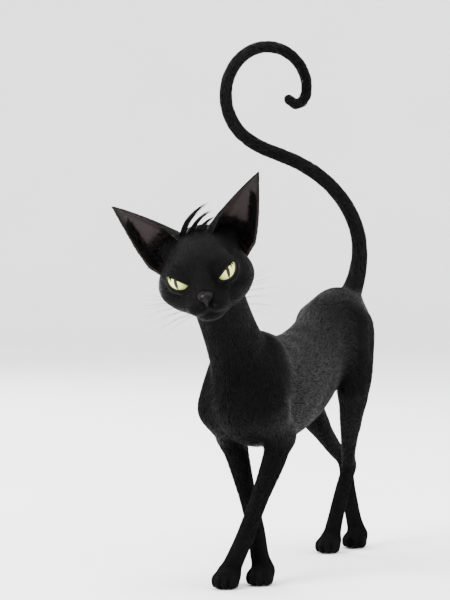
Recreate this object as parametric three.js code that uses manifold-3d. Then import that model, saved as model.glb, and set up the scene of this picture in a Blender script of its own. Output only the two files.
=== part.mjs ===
// A slender short-haired cat, life size, walking with its paws nearly on one line: the forelegs cross, the
// head is turned to its left, lowered and tilted, and the long tail stands in an S that curls at the tip.
//
// Millimetres, +Z up. The cat faces -Y and its left side is +X. The group's origin is the middle of the
// model's footprint, on the floor. Inside, points are measured from the floor under the withers.
//
// Flesh is a field: oval stretches and lumps melt into one another, and the surface is where the field
// is zero. Each node is that surface drawn on a grid of its own size, then cut from its neighbours.

import * as THREE from "three";
import { mergeVertices } from "three/addons/utils/BufferGeometryUtils.js";
import Module from "manifold-3d";

const wasm = await Module();
wasm.setup();

// ---------------------------------------------------------------- driving sizes

const GAP = 0.36; // kept between nodes that touch
const CELL = { trunk: 9, leg: 6.2, paw: 3.8, neck: 7, tail: 5, head: 3.4, nose: 1.4 };
const SLACK = 0.14; // of a cell: how far a drawn surface may leave its field where faces are joined

// The trunk, from the chest to the buttocks: place along Y, height of the back, height of the belly,
// half-width.
const TRUNK = [
  [-36, 211, 150, 23],
  [-16, 225, 132, 32],
  [14, 231, 126, 36.5],
  [56, 229, 127, 39],
  [104, 231, 138, 38.5],
  [150, 241, 157, 34],
  [190, 257, 176, 30],
  [224, 272, 190, 31],
  [250, 270, 204, 27],
];

// The neck, from inside the chest to inside the skull: middle, half-width, half-depth.
const NECK = [
  [0, -4, 186, 28, 37],
  [0, -30, 210, 25.5, 33],
  [-2, -54, 241, 23.5, 28.5],
  [-4, -73, 268, 23, 27],
  [-6, -84, 290, 23.5, 25],
];

// Each leg's joints, right side mirrored from these where the two sides agree.
const LEGS = {
  foreleg_left: { hip: [25, -27, 170], elbow: [26, 9, 136], wrist: [4, -27, 48], paw: [-9, -39, 11] },
  foreleg_right: { hip: [-25, -27, 170], elbow: [-26, 12, 136], wrist: [3, 0, 50], paw: [13, -9, 11] },
  hindleg_left: { hip: [21, 226, 234], knee: [31, 184, 166], hock: [13, 231, 85], paw: [1, 207, 11] },
  hindleg_right: { hip: [-21, 226, 234], knee: [-31, 194, 162], hock: [-6, 272, 88], paw: [14, 253, 11] },
};

// The tail: a curve in one upright plane, told by its heading (degrees up from that plane's level
// direction) at shares of its length, and a radius that shrinks towards the tip.
const TAIL = {
  root: [0, 262, 256],
  length: 480,
  planeTurn: 50, // from +X towards +Y
  headings: [
    [0, 60],
    [0.1, 84],
    [0.22, 124],
    [0.4, 160],
    [0.5, 152],
    [0.62, 92],
    [0.78, 6],
    [0.9, -68],
    [0.955, -122],
    [1, -240],
  ],
  rootRadius: 11.5,
  rootShare: 0.18, // of the length, over which the tail narrows from its root
  midRadius: 7.6,
  tipRadius: 5.4,
  steps: 54,
  start: 4, // the step where the first length leaves the rump
  sides: 10,
  pieces: 9,
};

// The head, in a frame of its own: x to the cat's left, y backwards, z up, from the middle of the skull.
const HEAD = { middle: [-6, -102, 297], yaw: 23, pitch: 21, roll: 14 };
const EYE = {
  middle: [20, -25, 3],
  radius: 11.5,
  lid: 1.9,
  look: [0.3, -0.945, 0.1],
  halfLength: 11.6, // of the opening between the lids
  slant: 30,
  over: 2.6, // how far the opening reaches above the line between its corners
  under: 6.6, // and below it
};
const EAR = {
  root: [31, 9, 19],
  axis: [0.62, 0.12, 0.78],
  facing: [0.42, -0.9, 0.05],
  height: 62,
  halfWidth: 23,
  depth: 18,
  bend: 5, // the tip leans back by this much
  foot: -0.36, // the share of the height that is sunk in the skull
  top: 0.985,
  spread: [104, 64], // half the arc of the section, at the foot and at the tip
  thickness: [2.6, 1.3],
  steps: { around: 12, up: 12 },
};
const MOUTH = {
  radius: 1.2,
  cleft: [[0, -57, -15], [0, -55, -23.5]],
  lips: [[8, -50, -26.5], [15, -40, -25], [20, -30, -21]],
};
// Three locks on the crown: where each is rooted, its lean to the left and how far it bends over.
const CREST = [
  { root: [-12, 2, 30.2], lean: 26, bend: 64, length: 44, width: 4.8 },
  { root: [-4, 1, 31.8], lean: 34, bend: 54, length: 32, width: 4.2 },
  { root: [4, 0, 32.2], lean: 42, bend: 44, length: 22, width: 3.6 },
];
const LOCK = { thick: 1.6, backwards: 0.18, fullness: 1.6, tip: 0.06, steps: 7 };
// Whiskers: rows on each pad, from the top down, and places in a row, from the front back.
const WHISKERS = {
  rows: 4,
  places: [1, 2, 3],
  root: { at: [9.5, -49.5, -14.2], perPlace: [2.4, 4.2, 0], perRow: [0, 0, -2.7] },
  way: { at: [1, -0.28, 0.2], perPlace: [0, 0.3, 0], perRow: [0, 0, -0.14] },
  length: { at: 38, perPlace: 6, perRow: 3, longestRow: 1.5 },
  droop: { way: [0, 0.35, -1], at: 0.1, perRow: 0.05 },
  thick: 0.62,
  tip: 0.25, // of the thickness, left at the tip
  sunk: 3,
  steps: 5,
};

// ---------------------------------------------------------------- small helpers

const vector = (p) => new THREE.Vector3(...p);
const mirrored = ([x, y, z]) => [-x, y, z];
const radians = THREE.MathUtils.degToRad;
const { clamp, lerp } = THREE.MathUtils;

// The lower of two fields, rounded off where they are within a blend of each other.
function melt(a, b, blend) {
  const near = Math.max(blend - Math.abs(a - b), 0);
  return Math.min(a, b) - (near * near) / (4 * blend);
}

// The value at share t from b to c on a smooth run (Catmull-Rom) that comes from a and goes on to d.
function smoothValue(a, b, c, d, t) {
  const bend = 2 * a - 5 * b + 4 * c - d + t * (3 * (b - c) + d - a);
  return b + 0.5 * t * (c - a + t * bend);
}

// Rows of numbers run through smoothly, with a few steps to each span.
function smoothRows(rows, steps = 4) {
  const made = [];
  const row = (i) => rows[clamp(i, 0, rows.length - 1)];
  for (let i = 0; i < rows.length - 1; i++)
    for (let s = 0; s < steps; s++) {
      const t = s / steps;
      const [a, b, c, d] = [row(i - 1), row(i), row(i + 1), row(i + 2)];
      made.push(b.map((v, k) => smoothValue(a[k], v, c[k], d[k], t)));
    }
  made.push(rows.at(-1));
  return made;
}

// ---------------------------------------------------------------- flesh as fields

// Distance to an oval body of half-sizes a, b and c, near its surface.
function ovalDistance(x, y, z, a, b, c) {
  const [u, v, w] = [x / a, y / b, z / c];
  const reach = Math.sqrt(u * u + v * v + w * w);
  const steepness = Math.sqrt((u / a) ** 2 + (v / b) ** 2 + (w / c) ** 2);
  return steepness > 1e-9 ? (reach * (reach - 1)) / steepness : -Math.min(a, b, c);
}

// A stretch of flesh through rows of [x, y, z, half-width, half-depth]. The width lies along side.
function stretch(rows, blend, side = [1, 0, 0]) {
  const path = smoothRows(rows);
  const spans = path.slice(1).map((end, i) => {
    const start = path[i];
    const from = new THREE.Vector3(start[0], start[1], start[2]);
    const along = new THREE.Vector3(end[0], end[1], end[2]).sub(from);
    const length = along.length();
    along.normalize();
    const across = vector(side).addScaledVector(along, -vector(side).dot(along)).normalize();
    const deep = new THREE.Vector3().crossVectors(along, across);
    const [widths, depths] = [3, 4].map((n) => [start[n], end[n]]);
    const reach = length + 1.5 * Math.max(...widths, ...depths); // past this a span can't be the nearest
    return { from, along, across, deep, length, widths, depths, reach };
  });
  const field = (x, y, z) => {
    let nearest = Infinity;
    for (const { from, along, across, deep, length, widths, depths, reach } of spans) {
      const [px, py, pz] = [x - from.x, y - from.y, z - from.z];
      if (nearest < Infinity && px * px + py * py + pz * pz > (Math.abs(nearest) + reach) ** 2) continue;
      const run = px * along.x + py * along.y + pz * along.z;
      const share = clamp(run / length, 0, 1);
      const width = lerp(widths[0], widths[1], share);
      const depth = lerp(depths[0], depths[1], share);
      const aside = px * across.x + py * across.y + pz * across.z;
      const below = px * deep.x + py * deep.y + pz * deep.z;
      const past = run - share * length;
      nearest = Math.min(nearest, ovalDistance(aside, below, past, width, depth, Math.min(width, depth)));
    }
    return nearest;
  };
  return { field, blend };
}

// A round or oval lump, tipped about the X axis by some degrees.
function lump([cx, cy, cz], [a, b, c], blend, tip = 0) {
  const [co, si] = [Math.cos(radians(tip)), Math.sin(radians(tip))];
  const field = (x, y, z) => {
    const [dy, dz] = [y - cy, z - cz];
    return ovalDistance(x - cx, dy * co + dz * si, dz * co - dy * si, a, b, c);
  };
  return { field, blend };
}

// All of a body's pieces melted together.
const melted = (pieces) => (x, y, z) => {
  let sum = Infinity;
  for (const { field, blend } of pieces) sum = melt(sum, field(x, y, z), blend);
  return sum;
};

// ---------------------------------------------------------------- the cat's flesh

const trunkFlesh = [
  stretch(
    TRUNK.map(([y, top, bottom, half]) => [0, y, (top + bottom) / 2, half, (top - bottom) / 2]),
    10,
  ),
  lump([0, -40, 170], [19, 17, 22], 16), // breast
  lump([0, 4, 219], [17, 30, 15], 14), // withers
];
const neckFlesh = [stretch(NECK, 14)];

// The tail's centre line: the heading runs smoothly between its named values.
function tailLine() {
  const rows = smoothRows(TAIL.headings, 8);
  const heading = (share) => {
    const i = Math.max(1, rows.findIndex((row) => row[0] >= share - 1e-9));
    return lerp(rows[i - 1][1], rows[i][1], (share - rows[i - 1][0]) / (rows[i][0] - rows[i - 1][0]));
  };
  const level = new THREE.Vector3(Math.cos(radians(TAIL.planeTurn)), Math.sin(radians(TAIL.planeTurn)), 0);
  const across = new THREE.Vector3(-level.y, level.x, 0);
  const step = TAIL.length / TAIL.steps;
  const point = vector(TAIL.root);
  const line = [];
  for (let i = 0; i <= TAIL.steps; i++) {
    const share = i / TAIL.steps;
    const turn = radians(heading(share));
    const along = level.clone().multiplyScalar(Math.cos(turn)).setZ(Math.sin(turn));
    const narrowed = Math.sin((Math.min(share / TAIL.rootShare, 1) * Math.PI) / 2);
    const radius = share < TAIL.rootShare
      ? lerp(TAIL.rootRadius, TAIL.midRadius, narrowed)
      : lerp(TAIL.midRadius, TAIL.tipRadius, (share - TAIL.rootShare) / (1 - TAIL.rootShare));
    line.push({ point: point.clone(), along, across, radius });
    const middle = radians(heading(Math.min(1, share + 0.5 / TAIL.steps)));
    point.addScaledVector(level, step * Math.cos(middle));
    point.z += step * Math.sin(middle);
  }
  return line;
}

const tailStations = tailLine();
const perTailPiece = Math.ceil((TAIL.steps - TAIL.start) / TAIL.pieces);
const rootStations = tailStations.slice(0, TAIL.start + 2 * perTailPiece);
const tailRoot = [
  stretch([[0, 236, 250, 18, 16], [0, 256, 254, 13.5, 13]], 14),
  stretch(rootStations.map(({ point, radius }) => [...point.toArray(), radius, radius]), 9),
];

// The muscle that lies on the trunk, and the leg below it, for one foreleg and one hind leg.
function shoulderFlesh({ hip, elbow }) {
  const [x, y, z] = hip;
  const out = Math.sign(x);
  return [
    stretch(
      [
        [x - 8 * out, y + 30, z + 46, 9.5, 20],
        [x - out, y + 8, z + 12, 13.5, 24],
        [x, y, z - 6, 15, 20],
      ],
      14,
    ),
    stretch([[x, y, z - 4, 14, 19], [elbow[0], elbow[1] - 4, elbow[2] + 2, 12, 16]], 12),
  ];
}
function forearmFlesh({ elbow, wrist, paw }) {
  const [ex, ey, ez] = elbow;
  const [wx, wy, wz] = wrist;
  return [
    stretch(
      [
        [ex, ey - 4, ez + 4, 12, 15],
        [lerp(ex, wx, 0.22), lerp(ey, wy, 0.22), lerp(ez, wz, 0.22), 10.6, 13],
        [lerp(ex, wx, 0.62), lerp(ey, wy, 0.62), lerp(ez, wz, 0.62), 8, 9],
        [wx, wy, wz, 8, 8.6],
        [lerp(wx, paw[0], 0.6), lerp(wy, paw[1], 0.6), lerp(wz, paw[2], 0.6), 8.5, 8.6],
        [paw[0], paw[1] + 4, paw[2] + 3, 9.8, 8.8],
      ],
      8,
    ),
    lump([ex, ey + 6, ez - 1], [9, 8, 10], 8), // point of the elbow
    lump([wx, wy + 4.4, wz - 5], [5.6, 4.2, 5.6], 4), // wrist pad
  ];
}
function thighFlesh({ hip, knee, hock }) {
  const [x, y, z] = hip;
  const [kx, ky, kz] = knee;
  const [hx, hy, hz] = hock;
  const out = Math.sign(x);
  return [
    stretch(
      [
        [x, y - 2, z, 13, 33],
        [lerp(x, kx, 0.55), lerp(y, ky, 0.45), lerp(z, kz, 0.5), 15, 31],
        [kx, ky + 8, kz, 12, 22],
      ],
      15,
    ),
    stretch(
      [
        [x - 3 * out, y + 22, z - 2, 12, 14],
        [x + 2 * out, y + 17, z - 34, 11, 14],
        [lerp(x, kx, 0.8), ky + 33, z - 64, 9, 12],
        [lerp(kx, hx, 0.42), lerp(ky, hy, 0.42) + 9, lerp(kz, hz, 0.42), 6.5, 8.5],
      ],
      14,
    ), // back of the thigh, down to the calf
  ];
}
function shankFlesh({ knee, hock, paw }) {
  const [kx, ky, kz] = knee;
  const [hx, hy, hz] = hock;
  const [px, py, pz] = paw;
  return [
    stretch(
      [
        [kx, ky + 8, kz + 4, 12, 21],
        [lerp(kx, hx, 0.25), lerp(ky, hy, 0.25) + 5, lerp(kz, hz, 0.25), 10.8, 18],
        [lerp(kx, hx, 0.5), lerp(ky, hy, 0.48) + 3, lerp(kz, hz, 0.5), 8.8, 13],
        [lerp(kx, hx, 0.8), lerp(ky, hy, 0.78), lerp(kz, hz, 0.8), 6.8, 9],
        [hx, hy, hz, 7, 8.2],
        [lerp(hx, px, 0.35), lerp(hy, py, 0.42), lerp(hz, pz, 0.35), 7.2, 8],
        [lerp(hx, px, 0.76), lerp(hy, py, 0.74), lerp(hz, pz, 0.76), 8, 8],
        [px, py + 5, pz + 3, 9.6, 8.8],
      ],
      8,
    ),
    lump([hx, hy + 6, hz + 3], [5, 5.4, 9], 6), // point of the hock
  ];
}

// A paw: a low pad, and four toes that fan out in front of it. It sinks a little, for the sole's cut.
const TOES = [
  [-8.2, -6],
  [-3, -11],
  [3, -11],
  [8.2, -6],
];
function pawFlesh([px, py, pz]) {
  return [
    lump([px, py - 1, pz - 1], [11, 12.8, 9.4], 6),
    ...TOES.map(([dx, dy]) => lump([px + dx, py + dy, pz - 4.2], [4.5, 8.6, 7.4], 2.6, -8)),
  ];
}

const headFlesh = [
  lump([0, 7, 4], [33.5, 35, 30.5], 8), // braincase
  lump([0, -14, 8], [26, 22, 21], 10), // forehead
  lump([25, -5, -11], [18.5, 22, 19], 12), // cheeks
  lump([-25, -5, -11], [18.5, 22, 19], 12),
  lump([0, -27, -13], [18.5, 22, 15.5], 10), // muzzle
  stretch([[0, -20, 14, 10, 8], [0, -36, 4, 8, 7], [0, -48, -6, 7, 6]], 8), // bridge of the nose
  lump([8.6, -42, -18.5], [11, 12.4, 8.6], 5.5), // whisker pads
  lump([-8.6, -42, -18.5], [11, 12.4, 8.6], 5.5),
  lump([0, -39, -28.6], [9.6, 10, 7], 5), // chin
  stretch([[6, -34, -28, 8, 7], [22, -4, -25, 12, 11]], 8), // jaw
  stretch([[-6, -34, -28, 8, 7], [-22, -4, -25, 12, 11]], 8),
  lump([15, -24, 15], [12, 10, 7], 6), // brows
  lump([-15, -24, 15], [12, 10, 7], 6),
  lump(EYE.middle, Array(3).fill(EYE.radius + EYE.lid), 4), // lids over the eyes
  lump(mirrored(EYE.middle), Array(3).fill(EYE.radius + EYE.lid), 4),
  lump([24, 20, 14], [11, 11, 13], 10), // roots of the ears
  lump([-24, 20, 14], [11, 11, 13], 10),
];

const noseFlesh = [lump([0, -50.6, -8.4], [6.4, 6.2, 4.6], 2), lump([0, -53, -12.6], [2, 2.6, 4.4], 2.4)];
const nostril = lump([3.5, -56, -9.2], [1.9, 2.4, 1.2], 1, 12);

// ---------------------------------------------------------------- the head's frame

const head = new THREE.Group();
head.position.set(...HEAD.middle);
head.rotation.set(radians(HEAD.pitch), radians(-HEAD.roll), radians(HEAD.yaw), "ZXY");
head.updateMatrixWorld(true);
const intoHead = head.matrixWorld.clone().invert();

const headInBody = melted(headFlesh);
const headField = (x, y, z) => {
  const p = new THREE.Vector3(x, y, z).applyMatrix4(intoHead);
  return headInBody(p.x, p.y, p.z);
};
const neckInHead = (x, y, z) => {
  const p = new THREE.Vector3(x, y, z).applyMatrix4(head.matrixWorld);
  return neckFlesh[0].field(p.x, p.y, p.z);
};

// ---------------------------------------------------------------- drawing a field's surface

// The surface where a field is zero, inside a box, as a closed geometry. Each grid cell that the surface
// crosses gets one point, each grid edge that it crosses joins four cells by a quad, and the points are
// then moved down the field's slope onto the surface itself.
function drawn(field, low, high, cell) {
  const count = low.map((v, i) => Math.ceil((high[i] - v) / cell) + 1);
  const at = (i, j, k) => (k * count[1] + j) * count[0] + i;
  const values = new Float64Array(count[0] * count[1] * count[2]);
  for (let k = 0; k < count[2]; k++)
    for (let j = 0; j < count[1]; j++)
      for (let i = 0; i < count[0]; i++) {
        const rim = [i, j, k].some((v, n) => v === 0 || v === count[n] - 1);
        const value = field(low[0] + i * cell, low[1] + j * cell, low[2] + k * cell);
        values[at(i, j, k)] = rim ? Math.max(value, cell * 0.02) : value;
      }

  const corners = [0, 1, 2, 3, 4, 5, 6, 7].map((n) => [n & 1, (n >> 1) & 1, (n >> 2) & 1]);
  const edges = [];
  for (let a = 0; a < 8; a++)
    for (const step of [1, 2, 4]) if (!(a & step)) edges.push([a, a | step]);

  const points = [];
  const cells = new Map();
  for (let k = 0; k < count[2] - 1; k++)
    for (let j = 0; j < count[1] - 1; j++)
      for (let i = 0; i < count[0] - 1; i++) {
        const corner = corners.map(([x, y, z]) => values[at(i + x, j + y, k + z)]);
        const sum = new THREE.Vector3();
        let crossings = 0;
        for (const [a, b] of edges)
          if (corner[a] < 0 !== corner[b] < 0) {
            const share = corner[a] / (corner[a] - corner[b]);
            sum.add(vector(corners[a]).lerp(vector(corners[b]), share));
            crossings++;
          }
        if (!crossings) continue;
        sum.divideScalar(crossings).add(new THREE.Vector3(i, j, k));
        cells.set(at(i, j, k), points.length);
        points.push(sum.multiplyScalar(cell).add(vector(low)));
      }

  const index = [];
  const quad = (a, b, c, d) => {
    const [p, q, r, s] = [a, b, c, d].map((n) => points[n]);
    if (p.distanceTo(r) < q.distanceTo(s)) index.push(a, b, c, a, c, d);
    else index.push(b, c, d, b, d, a);
  };
  const unit = [
    [1, 0, 0],
    [0, 1, 0],
    [0, 0, 1],
  ];
  for (let k = 0; k < count[2] - 1; k++)
    for (let j = 0; j < count[1] - 1; j++)
      for (let i = 0; i < count[0] - 1; i++)
        unit.forEach(([x, y, z], n) => {
          if ([i, j, k].some((place, axis) => place === 0 && axis !== n)) return;
          const here = values[at(i, j, k)];
          const next = values[at(i + x, j + y, k + z)];
          if (here < 0 === next < 0) return;
          const [u, v] = [unit[(n + 1) % 3], unit[(n + 2) % 3]];
          const near = (a, b) => {
            const place = [i, j, k].map((value, axis) => value - a * u[axis] - b * v[axis]);
            return cells.get(at(...place));
          };
          const ring = [near(0, 0), near(1, 0), near(1, 1), near(0, 1)];
          if (next < 0) ring.reverse();
          quad(...ring);
        });

  settle(points, field, low, high, cell);
  const thin = thinned(points, index, SLACK * cell, 3.2 * cell);
  settle(thin.points, field, low, high, cell);
  return new THREE.BufferGeometry().setFromPoints(thin.points).setIndex(thin.index);
}

// The same closed surface with fewer faces: edges are drawn together, the flattest first, where the joined
// point stays within slack of all the faces it stands for and no face turns over or gets too thin.
function thinned(points, index, slack, longest) {
  const faces = [];
  for (let i = 0; i < index.length; i += 3) faces.push([index[i], index[i + 1], index[i + 2]]);
  const around = points.map(() => new Set());
  faces.forEach((face, f) => face.forEach((v) => around[v].add(f)));
  const plane = (face) => new THREE.Plane().setFromCoplanarPoints(...face.map((v) => points[v]));
  const planes = around.map((set) => [...set].map((f) => plane(faces[f])));
  const neighbours = (v) => new Set([...around[v]].flatMap((f) => faces[f]).filter((w) => w !== v));
  const shape = ([p, q, r]) => {
    const cross = q.clone().sub(p).cross(r.clone().sub(p));
    const size = Math.max(p.distanceToSquared(q), q.distanceToSquared(r), r.distanceToSquared(p));
    return { fullness: cross.length() / size, normal: cross.normalize() };
  };
  const holds = (face, a, b, target) => {
    const before = shape(face.map((v) => points[v]));
    const after = shape(face.map((v) => (v === a || v === b ? target : points[v])));
    return after.fullness >= Math.min(before.fullness, 0.22) && after.normal.dot(before.normal) > 0.7;
  };
  for (let pass = 0; pass < 14; pass++) {
    const plans = [];
    for (let a = 0; a < points.length; a++)
      for (const b of neighbours(a)) {
        if (b < a || points[a].distanceTo(points[b]) > longest) continue;
        const all = [...planes[a], ...planes[b]];
        const middle = points[a].clone().add(points[b]).divideScalar(2);
        for (const target of [middle, points[a], points[b]]) {
          const cost = Math.max(...all.map((p) => Math.abs(p.distanceToPoint(target))));
          if (cost < slack) plans.push({ a, b, target, cost });
        }
      }
    const touched = new Set();
    let joined = 0;
    for (const { a, b, target } of plans.sort((p, q) => p.cost - q.cost)) {
      if (touched.has(a) || touched.has(b)) continue;
      const [nearA, nearB] = [neighbours(a), neighbours(b)];
      if ([...nearA].filter((v) => nearB.has(v)).length !== 2) continue;
      const shared = [...around[a]].filter((f) => around[b].has(f));
      const kept = [...around[a], ...around[b]].filter((f) => !shared.includes(f));
      if (!kept.every((f) => holds(faces[f], a, b, target))) continue;
      for (const f of shared) for (const v of faces[f]) around[v].delete(f);
      for (const f of around[b]) {
        faces[f] = faces[f].map((v) => (v === b ? a : v));
        around[a].add(f);
      }
      around[b].clear();
      points[a] = target.clone();
      planes[a] = [...planes[a], ...planes[b]];
      for (const v of [a, b, ...nearA, ...nearB]) touched.add(v);
      joined++;
    }
    if (!joined) break;
  }
  const place = new Map();
  points.forEach((_, v) => around[v].size && place.set(v, place.size));
  const live = new Set(around.flatMap((set) => [...set]));
  return {
    points: [...place.keys()].map((v) => points[v]),
    index: [...live].flatMap((f) => faces[f].map((v) => place.get(v))),
  };
}

// Moves points down the field's slope onto the surface. A point at the box's side stays there.
function settle(points, field, low, high, cell) {
  const step = 0.2;
  for (const p of points) {
    if (p.toArray().some((v, i) => v < low[i] + 1.5 * cell || v > high[i] - 1.5 * cell)) continue;
    for (let turn = 0; turn < 3; turn++) {
      const value = field(p.x, p.y, p.z);
      const slope = new THREE.Vector3(
        field(p.x + step, p.y, p.z) - field(p.x - step, p.y, p.z),
        field(p.x, p.y + step, p.z) - field(p.x, p.y - step, p.z),
        field(p.x, p.y, p.z + step) - field(p.x, p.y, p.z - step),
      ).divideScalar(2 * step);
      const move = clamp(-value / Math.max(slope.lengthSq(), 0.2), -0.4 * cell, 0.4 * cell);
      p.addScaledVector(slope, move);
    }
  }
}

// ---------------------------------------------------------------- joining and cutting

function solid(geometry) {
  const bare = geometry.clone();
  for (const name of Object.keys(bare.attributes)) if (name !== "position") bare.deleteAttribute(name);
  const merged = mergeVertices(bare, 1e-3);
  return new wasm.Manifold(
    new wasm.Mesh({
      numProp: 3,
      vertProperties: new Float32Array(merged.attributes.position.array),
      triVerts: new Uint32Array(merged.index.array),
    }),
  );
}

// The largest closed surface of a solid, as a geometry with flat faces, without the needles that cuts leave.
function geometryOf(body) {
  const pieces = body.decompose().sort((a, b) => b.volume() - a.volume());
  const { vertProperties, triVerts } = pieces[0].getMesh();
  const points = [];
  for (let i = 0; i < vertProperties.length; i += 3) points.push(vector(vertProperties.slice(i, i + 3)));
  const thin = thinned(points, Array.from(triVerts), GAP / 12, Infinity);
  return new THREE.BufferGeometry().setFromPoints(thin.points).setIndex(thin.index);
}

// Keeps what lies on the far side of a plane: the side that the normal points to.
function beyond(body, point, normal, gap = GAP / 2) {
  const n = vector(normal).normalize();
  return body.trimByPlane(n.toArray(), n.dot(vector(point)) + gap);
}

// A solid pushed out along its normals.
function grown(geometry, by) {
  const bare = geometry.clone();
  bare.computeVertexNormals();
  const { position, normal } = bare.attributes;
  for (let i = 0; i < position.count; i++)
    position.setXYZ(
      i,
      position.getX(i) + by * normal.getX(i),
      position.getY(i) + by * normal.getY(i),
      position.getZ(i) + by * normal.getZ(i),
    );
  return solid(bare);
}

// The space that holds one leg: an arched window on the trunk's side, from x = inner outwards, and
// everything under the trunk. It is smaller by gap on every side that cuts.
function legSpace({ arch, inner, underside, along }, out, gap) {
  const [y, z, half, rise] = arch;
  const outline = new THREE.Shape();
  outline.moveTo(y - half + gap, underside - 2);
  outline.lineTo(y - half + gap, z);
  outline.absellipse(y, z, half - gap, rise - gap, Math.PI, 0, true);
  outline.lineTo(y + half - gap, underside - 2);
  outline.closePath();
  // The extrusion's own x, y, z become Y, Z, X.
  const window = new THREE.ExtrudeGeometry(outline, { depth: 80, bevelEnabled: false, curveSegments: 24 });
  window.applyMatrix4(new THREE.Matrix4().set(0, 0, 1, 0, 1, 0, 0, 0, 0, 1, 0, 0, 0, 0, 0, 1));
  window.translate(out > 0 ? inner + gap : -inner - gap - 80, 0, 0);
  const [front, rear] = along;
  const block = new THREE.BoxGeometry(240, rear - front, underside + 40 - gap);
  block.translate(0, (front + rear) / 2, (underside - 40 - gap) / 2);
  return solid(window).add(solid(block));
}

const LEG_SPACES = {
  foreleg: { arch: [-2, 162, 46, 38], inner: 12, underside: 119, along: [-140, 110] },
  hindleg: { arch: [212, 200, 55, 44], inner: 16, underside: 150, along: [152, 340] },
};

// ---------------------------------------------------------------- the nodes

// The boxes that nodes are drawn in: their low and their high corner. The last two are in the head's frame.
const BOXES = {
  trunk: [[-64, -90, 112], [64, 304, 322]],
  neck: [[-60, -130, 150], [64, 40, 330]],
  tail: [[-30, 236, 262], [48, 304, 356]],
  head: [[-58, -66, -60], [58, 64, 56]],
  nose: [[-12, -64, -20], [12, -40, 4]],
};

const cat = new THREE.Group();
const COAT = { color: 0x0b0b0d, roughness: 0.55, metalness: 0 };
const coat = () => new THREE.MeshStandardMaterial(COAT);
const leather = () => new THREE.MeshStandardMaterial({ color: 0x151314, roughness: 0.4, metalness: 0 });
const iris = () => new THREE.MeshStandardMaterial({ color: 0xd9d98a, roughness: 0.1, metalness: 0 });

function node(name, geometry, material, group = cat) {
  const mesh = new THREE.Mesh(geometry, material);
  mesh.name = name;
  group.add(mesh);
  return mesh;
}

const muscles = [
  ...shoulderFlesh(LEGS.foreleg_left),
  ...shoulderFlesh(LEGS.foreleg_right),
  ...thighFlesh(LEGS.hindleg_left),
  ...thighFlesh(LEGS.hindleg_right),
];
const bodyField = melted([...trunkFlesh, ...neckFlesh, ...tailRoot, ...muscles]);

// The planes that part the neck, and the tail's root.
const NECK_CUT = { point: [0, -24, 205], normal: [0, -0.78, 0.63] };
const HEAD_CUT = { point: [0, 26, -26], normal: [0, 0.62, -0.785] }; // in the head's frame
const tailStart = tailStations[TAIL.start];
const TAIL_CUT = { point: tailStart.point.toArray(), normal: tailStart.along.toArray() };

function makeTrunk() {
  let body = solid(drawn(bodyField, ...BOXES.trunk, CELL.trunk));
  body = beyond(body, NECK_CUT.point, NECK_CUT.normal.map((v) => -v));
  body = beyond(body, TAIL_CUT.point, TAIL_CUT.normal.map((v) => -v));
  for (const space of Object.values(LEG_SPACES))
    for (const out of [1, -1]) body = body.subtract(legSpace(space, out, 0));
  return body;
}

function makeNeck() {
  const withHead = (x, y, z) => melt(bodyField(x, y, z), headField(x, y, z), NECK_BLEND);
  const body = solid(drawn(withHead, ...BOXES.neck, CELL.neck));
  const lower = beyond(body, NECK_CUT.point, NECK_CUT.normal);
  const point = vector(HEAD_CUT.point).applyMatrix4(head.matrixWorld).toArray();
  const normal = vector(HEAD_CUT.normal).transformDirection(head.matrixWorld).toArray();
  return beyond(lower, point, normal);
}

// Shares of the way from the wrist or the hock to the paw where a leg is cut.
const LEG_CUTS = { forefoot: 0.36, hock: 0.08, hindfoot: 0.6 };

// One leg in its lengths, from the window on the trunk's side down to the floor.
function makeLeg(name) {
  const joints = LEGS[name];
  const isFore = name.startsWith("fore");
  const [middle, ankle] = isFore ? [joints.elbow, joints.wrist] : [joints.knee, joints.hock];
  const upper = isFore ? shoulderFlesh(joints) : thighFlesh(joints);
  const lower = isFore ? forearmFlesh(joints) : shankFlesh(joints);
  const field = melted([...trunkFlesh, ...neckFlesh, ...upper, ...lower, ...pawFlesh(joints.paw)]);
  const reach = [joints.hip, middle, ankle, joints.paw];
  const low = [0, 1].map((n) => Math.min(...reach.map((p) => p[n])) - 60);
  const high = [0, 1].map((n) => Math.max(...reach.map((p) => p[n])) + 60);
  const space = legSpace(LEG_SPACES[isFore ? "foreleg" : "hindleg"], Math.sign(joints.hip[0]), GAP);
  const whole = solid(drawn(field, [...low, 16], [...high, 262], CELL.leg)).intersect(space);
  const [px, py] = joints.paw;
  const paw = solid(drawn(field, [px - 30, py - 30, -8], [px + 36, py + 36, 62], CELL.paw));

  // Cuts from the top down: one level with the trunk's underside, the others square to the length below.
  const cut = (from, to, share) => ({
    point: from.map((v, n) => lerp(v, to[n], share)),
    normal: from.map((v, n) => v - to[n]),
  });
  const { underside } = LEG_SPACES[isFore ? "foreleg" : "hindleg"];
  const aboveFoot = cut(ankle, joints.paw, isFore ? LEG_CUTS.forefoot : LEG_CUTS.hindfoot);
  const cuts = [{ point: [0, 0, underside], normal: [0, 0, 1] }];
  if (!isFore) cuts.push(cut(ankle, joints.paw, LEG_CUTS.hock));
  const lengths = [];
  let rest = beyond(whole, aboveFoot.point, aboveFoot.normal);
  for (const { point, normal } of cuts) {
    lengths.push(beyond(rest, point, normal));
    rest = beyond(rest, point, normal.map((v) => -v));
  }
  lengths.push(rest);
  const floored = beyond(paw, [0, 0, 0], [0, 0, 1], 0);
  lengths.push(beyond(floored, aboveFoot.point, aboveFoot.normal.map((v) => -v)));
  return lengths;
}

// ---- the tail

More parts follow.
